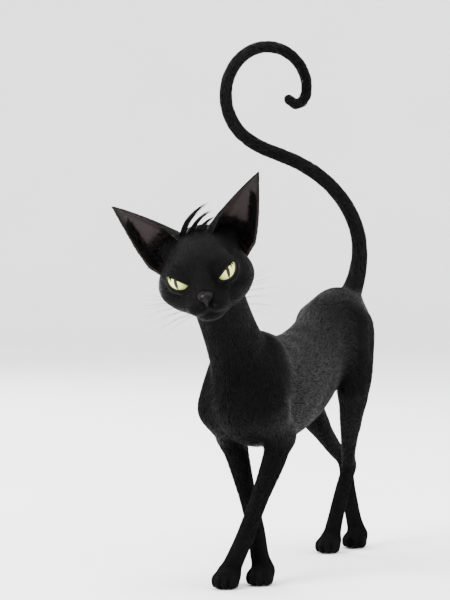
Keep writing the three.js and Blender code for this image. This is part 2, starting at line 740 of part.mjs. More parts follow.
// A closed tube through rings of points, with a middle point at each end.
function skinned(rings, startPoint, endPoint) {
  const sides = rings[0].length;
  const points = [startPoint, ...rings.flat(), endPoint];
  const ring = (i, k) => 1 + i * sides + (k % sides);
  const index = [];
  for (let k = 0; k < sides; k++) {
    index.push(0, ring(0, k + 1), ring(0, k));
    index.push(points.length - 1, ring(rings.length - 1, k), ring(rings.length - 1, k + 1));
    for (let i = 0; i < rings.length - 1; i++) {
      index.push(ring(i, k), ring(i, k + 1), ring(i + 1, k + 1));
      index.push(ring(i, k), ring(i + 1, k + 1), ring(i + 1, k));
    }
  }
  return new THREE.BufferGeometry().setFromPoints(points).setIndex(index);
}

function tailRing({ point, along, across, radius }) {
  const up = new THREE.Vector3().crossVectors(across, along);
  return Array.from({ length: TAIL.sides }, (_, k) => {
    const turn = (2 * Math.PI * k) / TAIL.sides;
    const out = up.clone().multiplyScalar(-Math.sin(turn)).addScaledVector(across, Math.cos(turn));
    return point.clone().addScaledVector(out, radius);
  });
}

// The tail in lengths. The first one melts into the rump, the others are tubes, and the last has a round tip.
function makeTail() {
  const end = tailStations[TAIL.start + perTailPiece];
  const root = solid(drawn(bodyField, ...BOXES.tail, CELL.tail));
  const clear = beyond(root, TAIL_CUT.point, TAIL_CUT.normal);
  const pieces = [beyond(clear, end.point.toArray(), end.along.toArray().map((v) => -v))];
  for (let first = TAIL.start + perTailPiece; first < TAIL.steps; first += perTailPiece) {
    const part = tailStations.slice(first, first + perTailPiece + 1).map((station) => ({ ...station }));
    part[0].point = part[0].point.clone().addScaledVector(part[0].along, GAP / 2);
    const last = part.at(-1);
    const rings = part.map(tailRing);
    let endPoint = last.point;
    if (first + perTailPiece >= TAIL.steps) {
      for (const share of [0.5, 0.85]) {
        const point = last.point.clone().addScaledVector(last.along, last.radius * share);
        rings.push(tailRing({ ...last, point, radius: last.radius * Math.sqrt(1 - share * share) }));
      }
      endPoint = last.point.clone().addScaledVector(last.along, last.radius);
    } else {
      endPoint = last.point.clone().addScaledVector(last.along, -GAP / 2);
      rings[rings.length - 1] = tailRing({ ...last, point: endPoint });
    }
    pieces.push(solid(skinned(rings, part[0].point, endPoint)));
  }
  return pieces;
}

// ---- the head and what grows on it

// An eye's own axes: where it looks, along the lids from the inner to the outer corner, and up across them.
function eyeAxes(out) {
  const look = new THREE.Vector3(EYE.look[0] * out, EYE.look[1], EYE.look[2]).normalize();
  const level = new THREE.Vector3(out, 0, 0).addScaledVector(look, -look.x * out).normalize();
  const rise = new THREE.Vector3(0, 0, 1).addScaledVector(look, -look.z);
  rise.addScaledVector(level, -level.z).normalize();
  const slant = radians(EYE.slant);
  return {
    look,
    along: level.clone().multiplyScalar(Math.cos(slant)).addScaledVector(rise, Math.sin(slant)),
    across: rise.clone().multiplyScalar(Math.cos(slant)).addScaledVector(level, -Math.sin(slant)),
  };
}

// The opening between the lids, a low almond, as a prism that runs forwards from the eye's middle.
function eyeOpening(out) {
  const { look, along, across } = eyeAxes(out);
  const { halfLength, over, under } = EYE;
  const shape = new THREE.Shape();
  shape.moveTo(-halfLength, -0.6);
  shape.bezierCurveTo(-halfLength * 0.5, over * 1.3, halfLength * 0.3, over * 1.5, halfLength, 1.2);
  shape.bezierCurveTo(halfLength * 0.75, -under, -halfLength * 0.55, -under * 1.75, -halfLength, -0.6);
  const prism = new THREE.ExtrudeGeometry(shape, { depth: 34, bevelEnabled: false, curveSegments: 9 });
  const middle = vector([EYE.middle[0] * out, EYE.middle[1], EYE.middle[2]]);
  const basis = new THREE.Matrix4().makeBasis(along, across, look).setPosition(middle);
  prism.applyMatrix4(basis);
  const made = basis.determinant() < 0 ? flipped(prism) : prism;
  return solid(made);
}

// The same surface with its faces turned round, after a mirroring.
function flipped(geometry) {
  const made = mergeVertices(geometry.clone().deleteAttribute("normal").deleteAttribute("uv"), 1e-3);
  const turned = Array.from(made.index.array);
  for (let i = 0; i < turned.length; i += 3) [turned[i + 1], turned[i + 2]] = [turned[i + 2], turned[i + 1]];
  return made.setIndex(turned);
}

// The head melts into the top of the neck.
const NECK_BLEND = 10;
const [braincase, ...face] = headFlesh;
const headWithNeck = melted([{ field: neckInHead, blend: 1 }, { ...braincase, blend: NECK_BLEND }, ...face]);

// A ball for an eye or for its socket.
function ball(out, radius) {
  const middle = [EYE.middle[0] * out, EYE.middle[1], EYE.middle[2]];
  return solid(new THREE.SphereGeometry(radius, 20, 12).rotateX(Math.PI / 2).translate(...middle));
}

// Far enough out of the head for every point that is settled on it.
const ABOUT_HEAD = [[-90, -90, -90], [90, 90, 90], 10];

// A thin tube that runs on the head's surface past the named points: it cuts the line of the mouth.
function surfaceTube(points, radius) {
  const placed = new THREE.CatmullRomCurve3(points.map(vector)).getPoints(3 * points.length);
  settle(placed, headInBody, ...ABOUT_HEAD);
  const curve = new THREE.CatmullRomCurve3(placed);
  const rings = placed.map((point, i) => {
    const along = curve.getTangent(i / (placed.length - 1));
    const up = new THREE.Vector3(0, -0.5, 0.866).cross(along).normalize();
    const side = new THREE.Vector3().crossVectors(along, up);
    return [0, 1, 2, 3, 4, 5].map((k) => {
      const turn = (k * Math.PI) / 3;
      const out = up.clone().multiplyScalar(Math.cos(turn)).addScaledVector(side, Math.sin(turn));
      return point.clone().addScaledVector(out, radius);
    });
  });
  return solid(skinned(rings, placed[0], placed.at(-1)));
}

function makeNose() {
  const field = (x, y, z) => {
    const leather = melted(noseFlesh)(x, y, z);
    const nostrils = Math.min(...[1, -1].map((out) => nostril.field(x * out, y, z)));
    return -melt(-leather, nostrils, 1);
  };
  return drawn(field, ...BOXES.nose, CELL.nose);
}

// One ear: a cup whose section is an arc that opens forwards, narrower and flatter towards the tip.
function makeEar() {
  const axis = vector(EAR.axis).normalize();
  const facing = vector(EAR.facing).addScaledVector(axis, -vector(EAR.facing).dot(axis)).normalize();
  const side = new THREE.Vector3().crossVectors(facing, axis);
  const { around, up } = EAR.steps;
  const rings = [];
  for (let j = 0; j <= up; j++) {
    const v = lerp(EAR.foot, EAR.top, j / up);
    const height = Math.max(v, 0);
    const width = EAR.halfWidth * (1 - height ** 1.35) ** 0.92 * (1 - 0.35 * Math.max(-v, 0));
    const depth = EAR.depth * (1 - height) ** 0.75;
    const spread = radians(lerp(EAR.spread[0], EAR.spread[1], height));
    const thick = lerp(EAR.thickness[0], EAR.thickness[1], height);
    const middle = vector(EAR.root).addScaledVector(axis, v * EAR.height);
    middle.addScaledVector(facing, -EAR.bend * height * height);
    const at = (turn, inset) =>
      middle
        .clone()
        .addScaledVector(side, Math.max(width - inset, 0.2) * Math.sin(turn))
        .addScaledVector(facing, -(Math.max(depth, 0.2) - inset) * Math.cos(turn));
    const outer = [];
    const inner = [];
    for (let i = 0; i <= around; i++) {
      const turn = lerp(-spread, spread, i / around);
      outer.push(at(turn, 0));
      inner.push(at(turn, thick));
    }
    rings.push([...outer, ...inner.reverse()]);
  }
  return shell(rings, around);
}

// A closed shell through rings that run out along one face and back along the other.
function shell(rings, around) {
  const size = rings[0].length;
  const index = [];
  for (let j = 0; j < rings.length - 1; j++)
    for (let i = 0; i < size; i++) {
      const [a, b] = [j * size + i, j * size + ((i + 1) % size)];
      index.push(a, b, b + size, a, b + size, a + size);
    }
  const top = (rings.length - 1) * size;
  for (let i = 0; i < around; i++) {
    const [a, b, c, d] = [i, i + 1, size - 2 - i, size - 1 - i];
    index.push(a, c, b, a, d, c);
    index.push(top + a, top + b, top + c, top + a, top + c, top + d);
  }
  return new THREE.BufferGeometry().setFromPoints(rings.flat()).setIndex(index);
}

// A flat tapered lock of long hair that rises from the crown and bends over to one side.
function makeLock({ root, lean, length, width, bend }) {
  const { thick, backwards, fullness, tip, steps } = LOCK;
  const rings = [];
  const point = vector(root);
  for (let i = 0; i <= steps; i++) {
    const share = i / steps;
    const turn = radians(lean + bend * share);
    const along = new THREE.Vector3(Math.sin(turn), backwards, Math.cos(turn)).normalize();
    const flat = new THREE.Vector3(0, 1, 0).addScaledVector(along, -along.y).normalize();
    const across = new THREE.Vector3().crossVectors(along, flat);
    const fall = lerp(1 - share ** fullness, 1, tip) / 2;
    const corner = (a, b) => {
      const made = point.clone().addScaledVector(flat, a * fall * thick);
      return made.addScaledVector(across, b * fall * width);
    };
    rings.push([corner(1, 0), corner(0, 1), corner(-1, 0), corner(0, -1)]);
    if (i < steps) point.addScaledVector(along, length / steps);
  }
  return solid(skinned(rings, vector(root), point));
}

// One whisker, a thin tapered blade: it leaves the pad sideways and droops more the lower its row is.
function makeWhisker(row, place, out) {
  const { root, way, droop, thick, tip, sunk, steps } = WHISKERS;
  const moved = ({ at, perPlace, perRow }) =>
    vector(at).addScaledVector(vector(perPlace), place).addScaledVector(vector(perRow), row);
  const start = moved(root);
  settle([start], headInBody, ...ABOUT_HEAD);
  const heading = moved(way).normalize();
  const { at, perPlace, perRow, longestRow } = WHISKERS.length;
  const length = at + perPlace * place - perRow * Math.abs(row - longestRow);
  const fall = vector(droop.way).multiplyScalar(droop.at + droop.perRow * row);
  const centres = Array.from({ length: steps + 1 }, (_, i) => {
    const run = lerp(-sunk, length, i / steps);
    return start.clone().addScaledVector(heading, run).addScaledVector(fall, Math.max(run, 0) ** 2 / length);
  });
  const side = new THREE.Vector3(0, 0, 1).cross(heading).normalize();
  const up = new THREE.Vector3().crossVectors(heading, side);
  const rings = centres.map((centre, i) =>
    [0, 1, 2].map((k) => {
      const turn = (2 * Math.PI * k) / 3;
      const radius = (thick / 2) * lerp(1, tip, i / steps);
      const out = side.clone().multiplyScalar(Math.cos(turn)).addScaledVector(up, Math.sin(turn));
      return centre.clone().addScaledVector(out, radius);
    }),
  );
  const made = skinned(rings, centres[0], centres.at(-1));
  return solid(out > 0 ? made : flipped(made.scale(-1, 1, 1)));
}

function makeHead() {
  const skull = drawn(headWithNeck, ...BOXES.head, CELL.head);
  const nose = makeNose();
  let body = beyond(solid(skull), HEAD_CUT.point, HEAD_CUT.normal.map((v) => -v));
  for (const out of [1, -1]) {
    body = body.subtract(eyeOpening(out)).subtract(ball(out, EYE.radius + GAP));
    const lips = MOUTH.lips.map(([x, y, z]) => [x * out, y, z]);
    body = body.subtract(surfaceTube([...MOUTH.cleft, ...lips], MOUTH.radius));
  }
  body = body.subtract(grown(nose, GAP));
  for (const lock of CREST) body = body.add(makeLock(lock));
  for (let row = 0; row < WHISKERS.rows; row++)
    for (const place of WHISKERS.places)
      for (const out of [1, -1]) body = body.add(makeWhisker(row, place, out));
  const ear = solid(makeEar()).subtract(grown(skull, 1.8 * GAP));
  return { body, nose, ear };
}

const headNodes = makeHead();

node("torso", geometryOf(makeTrunk()), coat());
node("neck", geometryOf(makeNeck()), coat());
const LENGTHS = {
  foreleg: ["upper_arm", "forearm", "forepaw"],
  hindleg: ["thigh", "shank", "metatarsus", "hindpaw"],
};
for (const name of Object.keys(LEGS)) {
  const [kind, side] = name.split("_");
  makeLeg(name).forEach((length, i) => node(`${LENGTHS[kind][i]}_${side}`, geometryOf(length), coat()));
}
makeTail().forEach((piece, i) => node(`tail_${i + 1}`, geometryOf(piece), coat()));
node("head", geometryOf(headNodes.body), coat(), head);
node("nose", geometryOf(solid(headNodes.nose)), leather(), head);
for (const out of [1, -1]) {
  const side = out > 0 ? "left" : "right";
  node(`eye_${side}`, geometryOf(ball(out, EYE.radius)), iris(), head);
  const ear = geometryOf(headNodes.ear);
  node(`ear_${side}`, out > 0 ? ear : flipped(ear.scale(-1, 1, 1)), coat(), head);
}
cat.add(head);

// The origin goes to the middle of the footprint, on the floor.
cat.updateMatrixWorld(true);
const box = new THREE.Box3().setFromObject(cat, true);
cat.position.set(-(box.min.x + box.max.x) / 2, -(box.min.y + box.max.y) / 2, -box.min.z);

export default cat;
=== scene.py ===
# %% [markdown]
# # A slender black cat on its walk
#
# The model is one short-haired black cat, life size and still, as a museum shows it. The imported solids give
# its size and pose. This file gives it skin, eyes, nose leather and fur. It is read from top to bottom: each
# step says what the piece is on a real cat, how it could be made, and why it is made this way.

import math

import bmesh
import bpy
import numpy as np
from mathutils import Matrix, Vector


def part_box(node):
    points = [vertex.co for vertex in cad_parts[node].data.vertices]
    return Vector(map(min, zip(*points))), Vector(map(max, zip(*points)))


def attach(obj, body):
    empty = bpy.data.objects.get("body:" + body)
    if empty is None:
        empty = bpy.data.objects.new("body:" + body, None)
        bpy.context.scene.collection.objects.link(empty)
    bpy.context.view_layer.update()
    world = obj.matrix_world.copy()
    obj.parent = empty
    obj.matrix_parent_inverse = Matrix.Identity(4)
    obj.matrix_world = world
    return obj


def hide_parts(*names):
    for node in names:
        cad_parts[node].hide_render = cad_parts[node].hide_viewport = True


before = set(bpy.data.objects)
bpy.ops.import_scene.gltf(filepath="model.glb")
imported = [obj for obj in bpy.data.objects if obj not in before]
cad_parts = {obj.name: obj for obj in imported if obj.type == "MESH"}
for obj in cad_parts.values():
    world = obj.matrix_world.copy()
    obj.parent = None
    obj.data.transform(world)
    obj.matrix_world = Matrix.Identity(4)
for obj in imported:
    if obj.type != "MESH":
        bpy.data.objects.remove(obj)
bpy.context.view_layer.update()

# %% [markdown]
# ## The cat's own sizes
#
# The solids were made from a short list of named sizes in millimetres: sections of the trunk, joints of the
# legs, the tail's bends and the head's lumps. The skin is drawn from the same list, so that it lies inside
# the solids everywhere. The solids were then moved so that the origin is the middle of the footprint. That
# move is read back from the left eye, whose place in the list is known.

# %% Sizes of trunk, neck, legs and tail, in millimetres
# Trunk: place along Y, height of the back, height of the belly, half-width.
TRUNK = [
    [-36, 211, 150, 23],
    [-16, 225, 132, 32],
    [14, 231, 126, 36.5],
    [56, 229, 127, 39],
    [104, 231, 138, 38.5],
    [150, 241, 157, 34],
    [190, 257, 176, 30],
    [224, 272, 190, 31],
    [250, 270, 204, 27],
]
# Neck, from inside the chest to inside the skull: middle, half-width, half-depth.
NECK = [
    [0, -4, 186, 28, 37],
    [0, -30, 210, 25.5, 33],
    [-2, -54, 241, 23.5, 28.5],
    [-4, -73, 268, 23, 27],
    [-6, -84, 290, 23.5, 25],
]
LEGS = {
    "foreleg_left": dict(hip=[25, -27, 170], elbow=[26, 9, 136], wrist=[4, -27, 48], paw=[-9, -39, 11]),
    "foreleg_right": dict(hip=[-25, -27, 170], elbow=[-26, 12, 136], wrist=[3, 0, 50], paw=[13, -9, 11]),
    "hindleg_left": dict(hip=[21, 226, 234], knee=[31, 184, 166], hock=[13, 231, 85], paw=[1, 207, 11]),
    "hindleg_right": dict(hip=[-21, 226, 234], knee=[-31, 194, 162], hock=[-6, 272, 88], paw=[14, 253, 11]),
}
# Tail: a curve in one upright plane, told by its heading at shares of its length.
TAIL = dict(
    root=[0, 262, 256],
    length=480,
    plane_turn=50,
    headings=[
        [0, 60], [0.1, 84], [0.22, 124], [0.4, 160], [0.5, 152],
        [0.62, 92], [0.78, 6], [0.9, -68], [0.955, -122], [1, -240],
    ],
    root_radius=11.5,
    root_share=0.18,
    mid_radius=7.6,
    tip_radius=5.4,
    steps=54,
)
print("legs:", ", ".join(LEGS))

# %% Sizes of the head, in its own upright frame
HEAD = dict(middle=[-6, -102, 297], yaw=23, pitch=21, roll=14)
EYE = dict(middle=[20, -25, 3], radius=11.5, lid=1.9, half_length=11.6, slant=30, over=2.6, under=6.6)
EAR = dict(
    root=[31, 9, 19], axis=[0.62, 0.12, 0.78], facing=[0.42, -0.9, 0.05], height=62, half_width=23, depth=18,
    bend=5, top=0.985, spread=[104, 64], thickness=[2.2, 1.0],
)
print("eye radius", EYE["radius"], "mm, ear height", EAR["height"], "mm")

# %% From millimetres on the cat to metres in the frame
def turn_about(axis, degrees):
    """A rotation about X, Y or Z as a 3 by 3 array."""
    c, s = math.cos(math.radians(degrees)), math.sin(math.radians(degrees))
    first, second = dict(X=(1, 2), Y=(2, 0), Z=(0, 1))[axis]
    made = np.eye(3)
    made[first, first] = made[second, second] = c
    made[second, first], made[first, second] = s, -s
    return made


head_turn = turn_about("Z", HEAD["yaw"]) @ turn_about("X", HEAD["pitch"]) @ turn_about("Y", -HEAD["roll"])


def out_of_head(points):
    """Head's own millimetres to the cat's: turned, then carried to the head's middle."""
    return np.asarray(points, float) @ head_turn.T + HEAD["middle"]


def into_head(points):
    """The cat's millimetres to the head's own."""
    return (np.asarray(points, float) - HEAD["middle"]) @ head_turn


eye_box = np.array([list(corner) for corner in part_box("eye_left")])
origin = eye_box.mean(0) - out_of_head(EYE["middle"]) / 1000


def to_frame(points):
    """The cat's millimetres to metres in the frame."""
    return np.asarray(points, float) / 1000 + origin


print("origin moved by", np.round(origin * 1000, 1), "mm")

# %% [markdown]
# ## Camera, floor and light
#
# The camera stands at a cat's own height, a long lens away, a little to the cat's right. The floor is a wide
# pale bowl: flat under the cat and rising far away, so that no horizon cuts the view from any side. A
# black coat shows its form only by what it mirrors, so most light comes from wide, soft lamps behind and
# above, and one weaker lamp in front lights the face.

# %% Camera
SENSOR = 36  # mm, the long side
VIEW = dict(azimuth=23, target=[-16.2, -28.7, 265.3], distance=1889, height=311, focal=2040, frame_height=600)


def add_camera():
    """Aims a camera from the azimuth's side at the target. Lens = focal length in pixels * sensor / long
    side in pixels."""
    turn = math.radians(VIEW["azimuth"])
    target = np.array(VIEW["target"])
    place = target + VIEW["distance"] * np.array([math.sin(turn), -math.cos(turn), 0])
    place[2] = VIEW["height"]
    data = bpy.data.cameras.new("camera")
    data.sensor_width = SENSOR
    data.lens = VIEW["focal"] * SENSOR / VIEW["frame_height"]
    camera = bpy.data.objects.new("camera", data)
    bpy.context.scene.collection.objects.link(camera)
    camera.location = to_frame(place)
    look = Vector(to_frame(target) - to_frame(place))
    camera.rotation_euler = look.to_track_quat("-Z", "Y").to_euler()
    bpy.context.scene.camera = camera
    print("camera at", np.round(np.array(camera.location), 3), "lens", round(data.lens, 1))


add_camera()

# %% Putting arrays into a mesh
def add_mesh(name, points, faces):
    """Makes an object of points, in metres, and of one array of faces, each with as many corners."""
    points = np.ascontiguousarray(points, np.float32)
    faces = np.ascontiguousarray(faces, np.int32)
    mesh = bpy.data.meshes.new(name)
    mesh.vertices.add(len(points))
    mesh.vertices.foreach_set("co", points.ravel())
    mesh.loops.add(faces.size)
    mesh.loops.foreach_set("vertex_index", faces.ravel())
    mesh.polygons.add(len(faces))
    mesh.polygons.foreach_set("loop_start", np.arange(0, faces.size, faces.shape[1], dtype=np.int32))
    mesh.polygons.foreach_set("use_smooth", np.full(len(faces), True))
    mesh.update(calc_edges=True)
    made = bpy.data.objects.new(name, mesh)
    bpy.context.scene.collection.objects.link(made)
    return made


def grid_faces(rows, columns, closed=False):
    """Quads between neighbours on a grid of points. A closed grid joins its last column to its first."""
    across = columns if closed else columns - 1
    j, i = np.meshgrid(np.arange(rows - 1), np.arange(across), indexing="ij")
    right = (i + 1) % columns
    ring = [j * columns + i, j * columns + right, (j + 1) * columns + right, (j + 1) * columns + i]
    return np.stack(ring, -1).reshape(-1, 4)


def corner_values(made, per_point):
    """One value per point, spread to every face corner, as UV maps and corner attributes want it."""
    corners = np.empty(len(made.data.loops), np.int32)
    made.data.loops.foreach_get("vertex_index", corners)
    return np.asarray(per_point, np.float32)[corners]


def add_uv(made, name, uv):
    """A UV map from one (u, v) per point."""
    layer = made.data.uv_layers.new(name=name)
    layer.data.foreach_set("uv", corner_values(made, uv).ravel())


def add_point_value(made, name, values):
    """A number on each point, for a material to read by name."""
    layer = made.data.attributes.new(name, "FLOAT", "POINT")
    layer.data.foreach_set("value", np.asarray(values, np.float32))


def dress(made, material):
    """Gives a piece its material and its body."""
    made.data.materials.append(material)
    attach(made, "root")
    return made


# %% Material helpers
def new_material(name, **finish):
    """A material with its shader's own sockets set. Returns it with its node tree and its shader."""
    made = bpy.data.materials.new(name)
    made.use_nodes = True
    shader = made.node_tree.nodes["Principled BSDF"]
    for socket, value in finish.items():
        shader.inputs[socket.replace("_", " ")].default_value = value
    return made, made.node_tree, shader


def add_node(tree, kind, inputs=(), give=0, **settings):
    """A shader node. inputs: for a socket's name or number, a value or the output that feeds it. Returns the
    output to give on."""
    made = tree.nodes.new("ShaderNode" + kind)
    for key, value in settings.items():
        setattr(made, key, value)
    for key, value in dict(inputs).items():
        if isinstance(value, bpy.types.NodeSocket):
            tree.links.new(value, made.inputs[key])
        else:
            made.inputs[key].default_value = value
    return made.outputs[give]


def maths(tree, operation, *values):
    """Arithmetic on numbers and outputs."""
    return add_node(tree, "Math", enumerate(values), operation=operation)


def attribute(tree, name):
    """A number that each point carries."""
    return add_node(tree, "Attribute", give="Fac", attribute_name=name)


def ramp(tree, source, stops):
    """A colour ramp fed by source, with (place, grey or colour) stops."""
    made = tree.nodes.new("ShaderNodeValToRGB")
    elements = made.color_ramp.elements
    while len(elements) < len(stops):
        elements.new(0.5)
    for element, (place, tone) in zip(elements, stops):
        element.position = place
        element.color = (*tone, 1) if np.ndim(tone) else (tone, tone, tone, 1)
    tree.links.new(source, made.inputs["Fac"])
    return made.outputs["Color"]


def own_place(tree):
    """The point's place in metres on the piece itself."""
    return add_node(tree, "TexCoord", give="Object")


def noise(tree, place, scale, detail, **more):
    """Clouds of about 1 / scale metres."""
    return add_node(tree, "TexNoise", {"Vector": place, "Scale": scale, "Detail": detail, **more}, "Fac")


def multiplied(tree, first, second, share=1.0):
    """The first colour times the second, by some share."""
    return add_node(tree, "MixRGB", {"Fac": share, "Color1": first, "Color2": second}, blend_type="MULTIPLY")


def add_bump(tree, shader, height, strength, depth, invert=False):
    """Fine relief from a height: strength 0 to 1, depth in metres."""
    relief = {"Strength": strength, "Distance": depth, "Height": height}
    tree.links.new(add_node(tree, "Bump", relief, invert=invert), shader.inputs["Normal"])


def grained(name, scale, detail, stops, strength, depth, **finish):
    """A plain skin: one noise gives it both its tint and its relief."""
    made, tree, shader = new_material(name, **finish)
    grain = noise(tree, own_place(tree), scale, detail)
    tree.links.new(ramp(tree, grain, stops), shader.inputs["Base Color"])
    add_bump(tree, shader, grain, strength, depth)
    return made


# %% Floor
BOWL = dict(flat=5.0, radius=9.0, height=6.0)


def add_floor():
    """A bowl: height = rise * (1 - cos) over the quarter turn between the flat part and the rim."""
    share = np.linspace(0, 1, 25)
    quarter = share * np.pi / 2
    wall = BOWL["flat"] + (BOWL["radius"] - BOWL["flat"]) * np.sin(quarter)
    reach = np.concatenate([[0.02, 1, 2.5], wall])
    height = np.concatenate([[0, 0, 0], BOWL["height"] * (1 - np.cos(quarter))])
    turn = np.linspace(0, 2 * np.pi, 96, endpoint=False)
    points = np.stack(np.broadcast_arrays(
        reach[:, None] * np.cos(turn), reach[:, None] * np.sin(turn), height[:, None]), -1).reshape(-1, 3)
    centre = np.array([[0.0, 0.0, 0.0]])
    floor = add_mesh("floor", points, grid_faces(len(reach), len(turn), closed=True))
    first = np.arange(len(turn))
    lid = add_mesh("floor_middle", np.concatenate([centre, points[: len(turn)]]),
                   np.stack([0 * first, 1 + first, 1 + (first + 1) % len(turn)], -1))
    made, tree, shader = new_material("pale_floor", Roughness=0.62)
    place = own_place(tree)
    away = add_node(tree, "VectorMath", {0: place}, "Value", operation="LENGTH")
    # Painted light: the floor is painted darker near the cat and paler out to the rim and up the wall, so the
    # far backdrop reads brighter than its light makes it.
    painted_backdrop_light = ramp(tree, maths(tree, "DIVIDE", away, BOWL["radius"]), [(0.05, 0.80), (0.45, 0.90), (0.9, 0.97)])
    mottle = ramp(tree, noise(tree, place, 1.7, 3.0), [(0.3, 0.97), (0.7, 1.0)])
    tree.links.new(multiplied(tree, painted_backdrop_light, mottle), shader.inputs["Base Color"])
    for piece in (floor, lid):
        piece.data.materials.append(made)


add_floor()

# %% Lamps
# Each lamp: where it stands, its width and height in metres, its power in watts.
LAMPS = dict(
    window_front=dict(place=[-1.6, -2.6, 2.2], size=(1.8, 1.8), power=150),
    rim_right=dict(place=[-2.2, 1.6, 1.6], size=(0.9, 2.2), power=42),
    rim_left=dict(place=[2.4, 1.2, 1.4], size=(0.9, 2.2), power=14),
    top_soft=dict(place=[0.2, 0.4, 2.8], size=(2.2, 2.2), power=60),
    side_fill=dict(place=[3.0, -0.4, 1.9], size=(1.4, 1.4), power=22),
)
AIM = Vector((0, 0, 0.2))
SKY = dict(tint=(0.99, 0.99, 1, 1), strength=1.15)
EXPOSURE = 0.35


def add_lamps():
    """Wide area lamps, each turned to the cat, and an even pale sky. The exposure suits the white
    surroundings, with deep blacks."""
    for name, lamp in LAMPS.items():
        data = bpy.data.lights.new(name, "AREA")
        data.shape = "RECTANGLE"
        data.size, data.size_y = lamp["size"]
        data.energy = lamp["power"]
        made = bpy.data.objects.new(name, data)
        made.location = lamp["place"]
        made.rotation_euler = (AIM - made.location).to_track_quat("-Z", "Y").to_euler()
        bpy.context.scene.collection.objects.link(made)
    world = bpy.data.worlds.new("pale_sky")
    world.use_nodes = True
    background = world.node_tree.nodes["Background"]
    background.inputs["Color"].default_value = SKY["tint"]
    background.inputs["Strength"].default_value = SKY["strength"]
    bpy.context.scene.world = world
    bpy.context.scene.view_settings.look = "AgX - Medium High Contrast"
    bpy.context.scene.view_settings.exposure = EXPOSURE
    print("lamps:", ", ".join(LAMPS))


add_lamps()

# %% [markdown]
# ## Flesh as fields
#
# Soft forms that run into one another are hard to model face by face. Here each muscle, bone and pad is a
# field: a number that is negative inside the piece, zero on its surface and about the distance outside.
# Two fields melt together where both are near zero, which gives the soft creases of real flesh. All the
# formulas work on whole arrays of points.

# %% Smooth rows and oval distance
FAR = 1e3  # stands for "nowhere near"
REACH = 18  # how far from a piece its field is worked out, in millimetres


def smooth_rows(rows, steps=4):
    """Catmull-Rom through rows of numbers: each span bends as its two neighbours ask."""
    rows = np.array(rows, float)
    pick = lambda shift: rows[np.clip(np.arange(len(rows) - 1) + shift, 0, len(rows) - 1)][:, None]
    before, start, end, after = pick(-1), pick(0), pick(1), pick(2)
    t = (np.arange(steps) / steps)[None, :, None]
    bend = 2 * before - 5 * start + 4 * end - after + t * (3 * (start - end) + after - before)
    made = start + 0.5 * t * (end - before + t * bend)
    return np.concatenate([made.reshape(-1, rows.shape[1]), rows[-1:]])


def oval_distance(u, v, w, a, b, c):
    """About the distance to an oval body: reach * (reach - 1) / steepness, where reach is the length of
    (u/a, v/b, w/c) and steepness that of (u/a^2, v/b^2, w/c^2)."""
    reach = np.sqrt((u / a) ** 2 + (v / b) ** 2 + (w / c) ** 2)
    steep = np.sqrt((u / a**2) ** 2 + (v / b**2) ** 2 + (w / c**2) ** 2)
    return np.where(steep > 1e-9, reach * (reach - 1) / np.maximum(steep, 1e-9), -np.minimum(a, b))


def melt(a, b, blend):
    """The lower of two fields, less a rounding where they lie within a blend of each other."""
    near = np.maximum(blend - np.abs(a - b), 0)
    return np.minimum(a, b) - near * near / (4 * blend)


def unit(vectors):
    """Vectors made one long."""
    vectors = np.asarray(vectors, float)
    return vectors / np.maximum(np.linalg.norm(vectors, axis=-1, keepdims=True), 1e-12)


def smooth_step(value, low, high):
    """0 below low, 1 above high, and a soft S between."""
    t = np.clip((np.asarray(value, float) - low) / (high - low), 0, 1)
    return t * t * (3 - 2 * t)


# %% Stretches and lumps
def stretch(rows, blend, side=(1, 0, 0), steps=4):
    """A length of flesh through rows of x, y, z, half-width, half-depth: ovals along a smooth path."""
    path = smooth_rows(rows, steps)
    start, end = path[:-1], path[1:]
    run = end[:, :3] - start[:, :3]
    length = np.linalg.norm(run, axis=1)
    along = run / length[:, None]
    across = unit(np.array(side, float) - (along @ np.array(side, float))[:, None] * along)
    widest = np.maximum(start[:, 3:5].max(1), end[:, 3:5].max(1))[:, None]
    lows = np.minimum(start[:, :3], end[:, :3]) - widest
    highs = np.maximum(start[:, :3], end[:, :3]) + widest
    return dict(
        start=start, end=end, length=length, along=along, across=across, deep=np.cross(along, across),
        lows=lows, highs=highs, low=lows.min(0), high=highs.max(0), blend=blend,
    )


def lump(middle, half, blend, tip=0):
    """A round or oval lump, tipped about the X axis by some degrees."""
    middle, half = np.array(middle, float), np.array(half, float)
    return dict(middle=middle, half=half, tip=math.radians(tip), blend=blend,
                low=middle - half.max(), high=middle + half.max())


# %% Fields of the pieces
def within(points, low, high, reach=REACH):
    """The numbers of the points inside a box grown by reach."""
    inside = np.ones(len(points), bool)
    for axis in range(3):
        inside &= (points[:, axis] > low[axis] - reach) & (points[:, axis] < high[axis] + reach)
    return np.flatnonzero(inside)


def piece_field(piece, points, follow=False):
    """The field of one piece. With follow, also the nearest span and the share of the way along it."""
    if "middle" in piece:
        offset = points - piece["middle"]
        c, s = math.cos(piece["tip"]), math.sin(piece["tip"])
        return oval_distance(offset[:, 0], offset[:, 1] * c + offset[:, 2] * s,
                             offset[:, 2] * c - offset[:, 1] * s, *piece["half"])
    nearest = np.full(len(points), FAR)
    span, share_along = np.zeros(len(points), int), np.zeros(len(points))
    for i in range(len(piece["length"])):
        near = within(points, piece["lows"][i], piece["highs"][i], 1e4 if follow else REACH)
        offset = points[near] - piece["start"][i, :3]
        run = offset @ piece["along"][i]
        share = np.clip(run / piece["length"][i], 0, 1)
        start, end = piece["start"][i], piece["end"][i]
        width = start[3] + share * (end[3] - start[3])
        depth = start[4] + share * (end[4] - start[4])
        value = oval_distance(offset @ piece["across"][i], offset @ piece["deep"][i],
                              run - share * piece["length"][i], width, depth, np.minimum(width, depth))
        closer = value < nearest[near]
        nearest[near[closer]] = value[closer]
        span[near[closer]], share_along[near[closer]] = i, share[closer]
    return (nearest, span, share_along) if follow else nearest


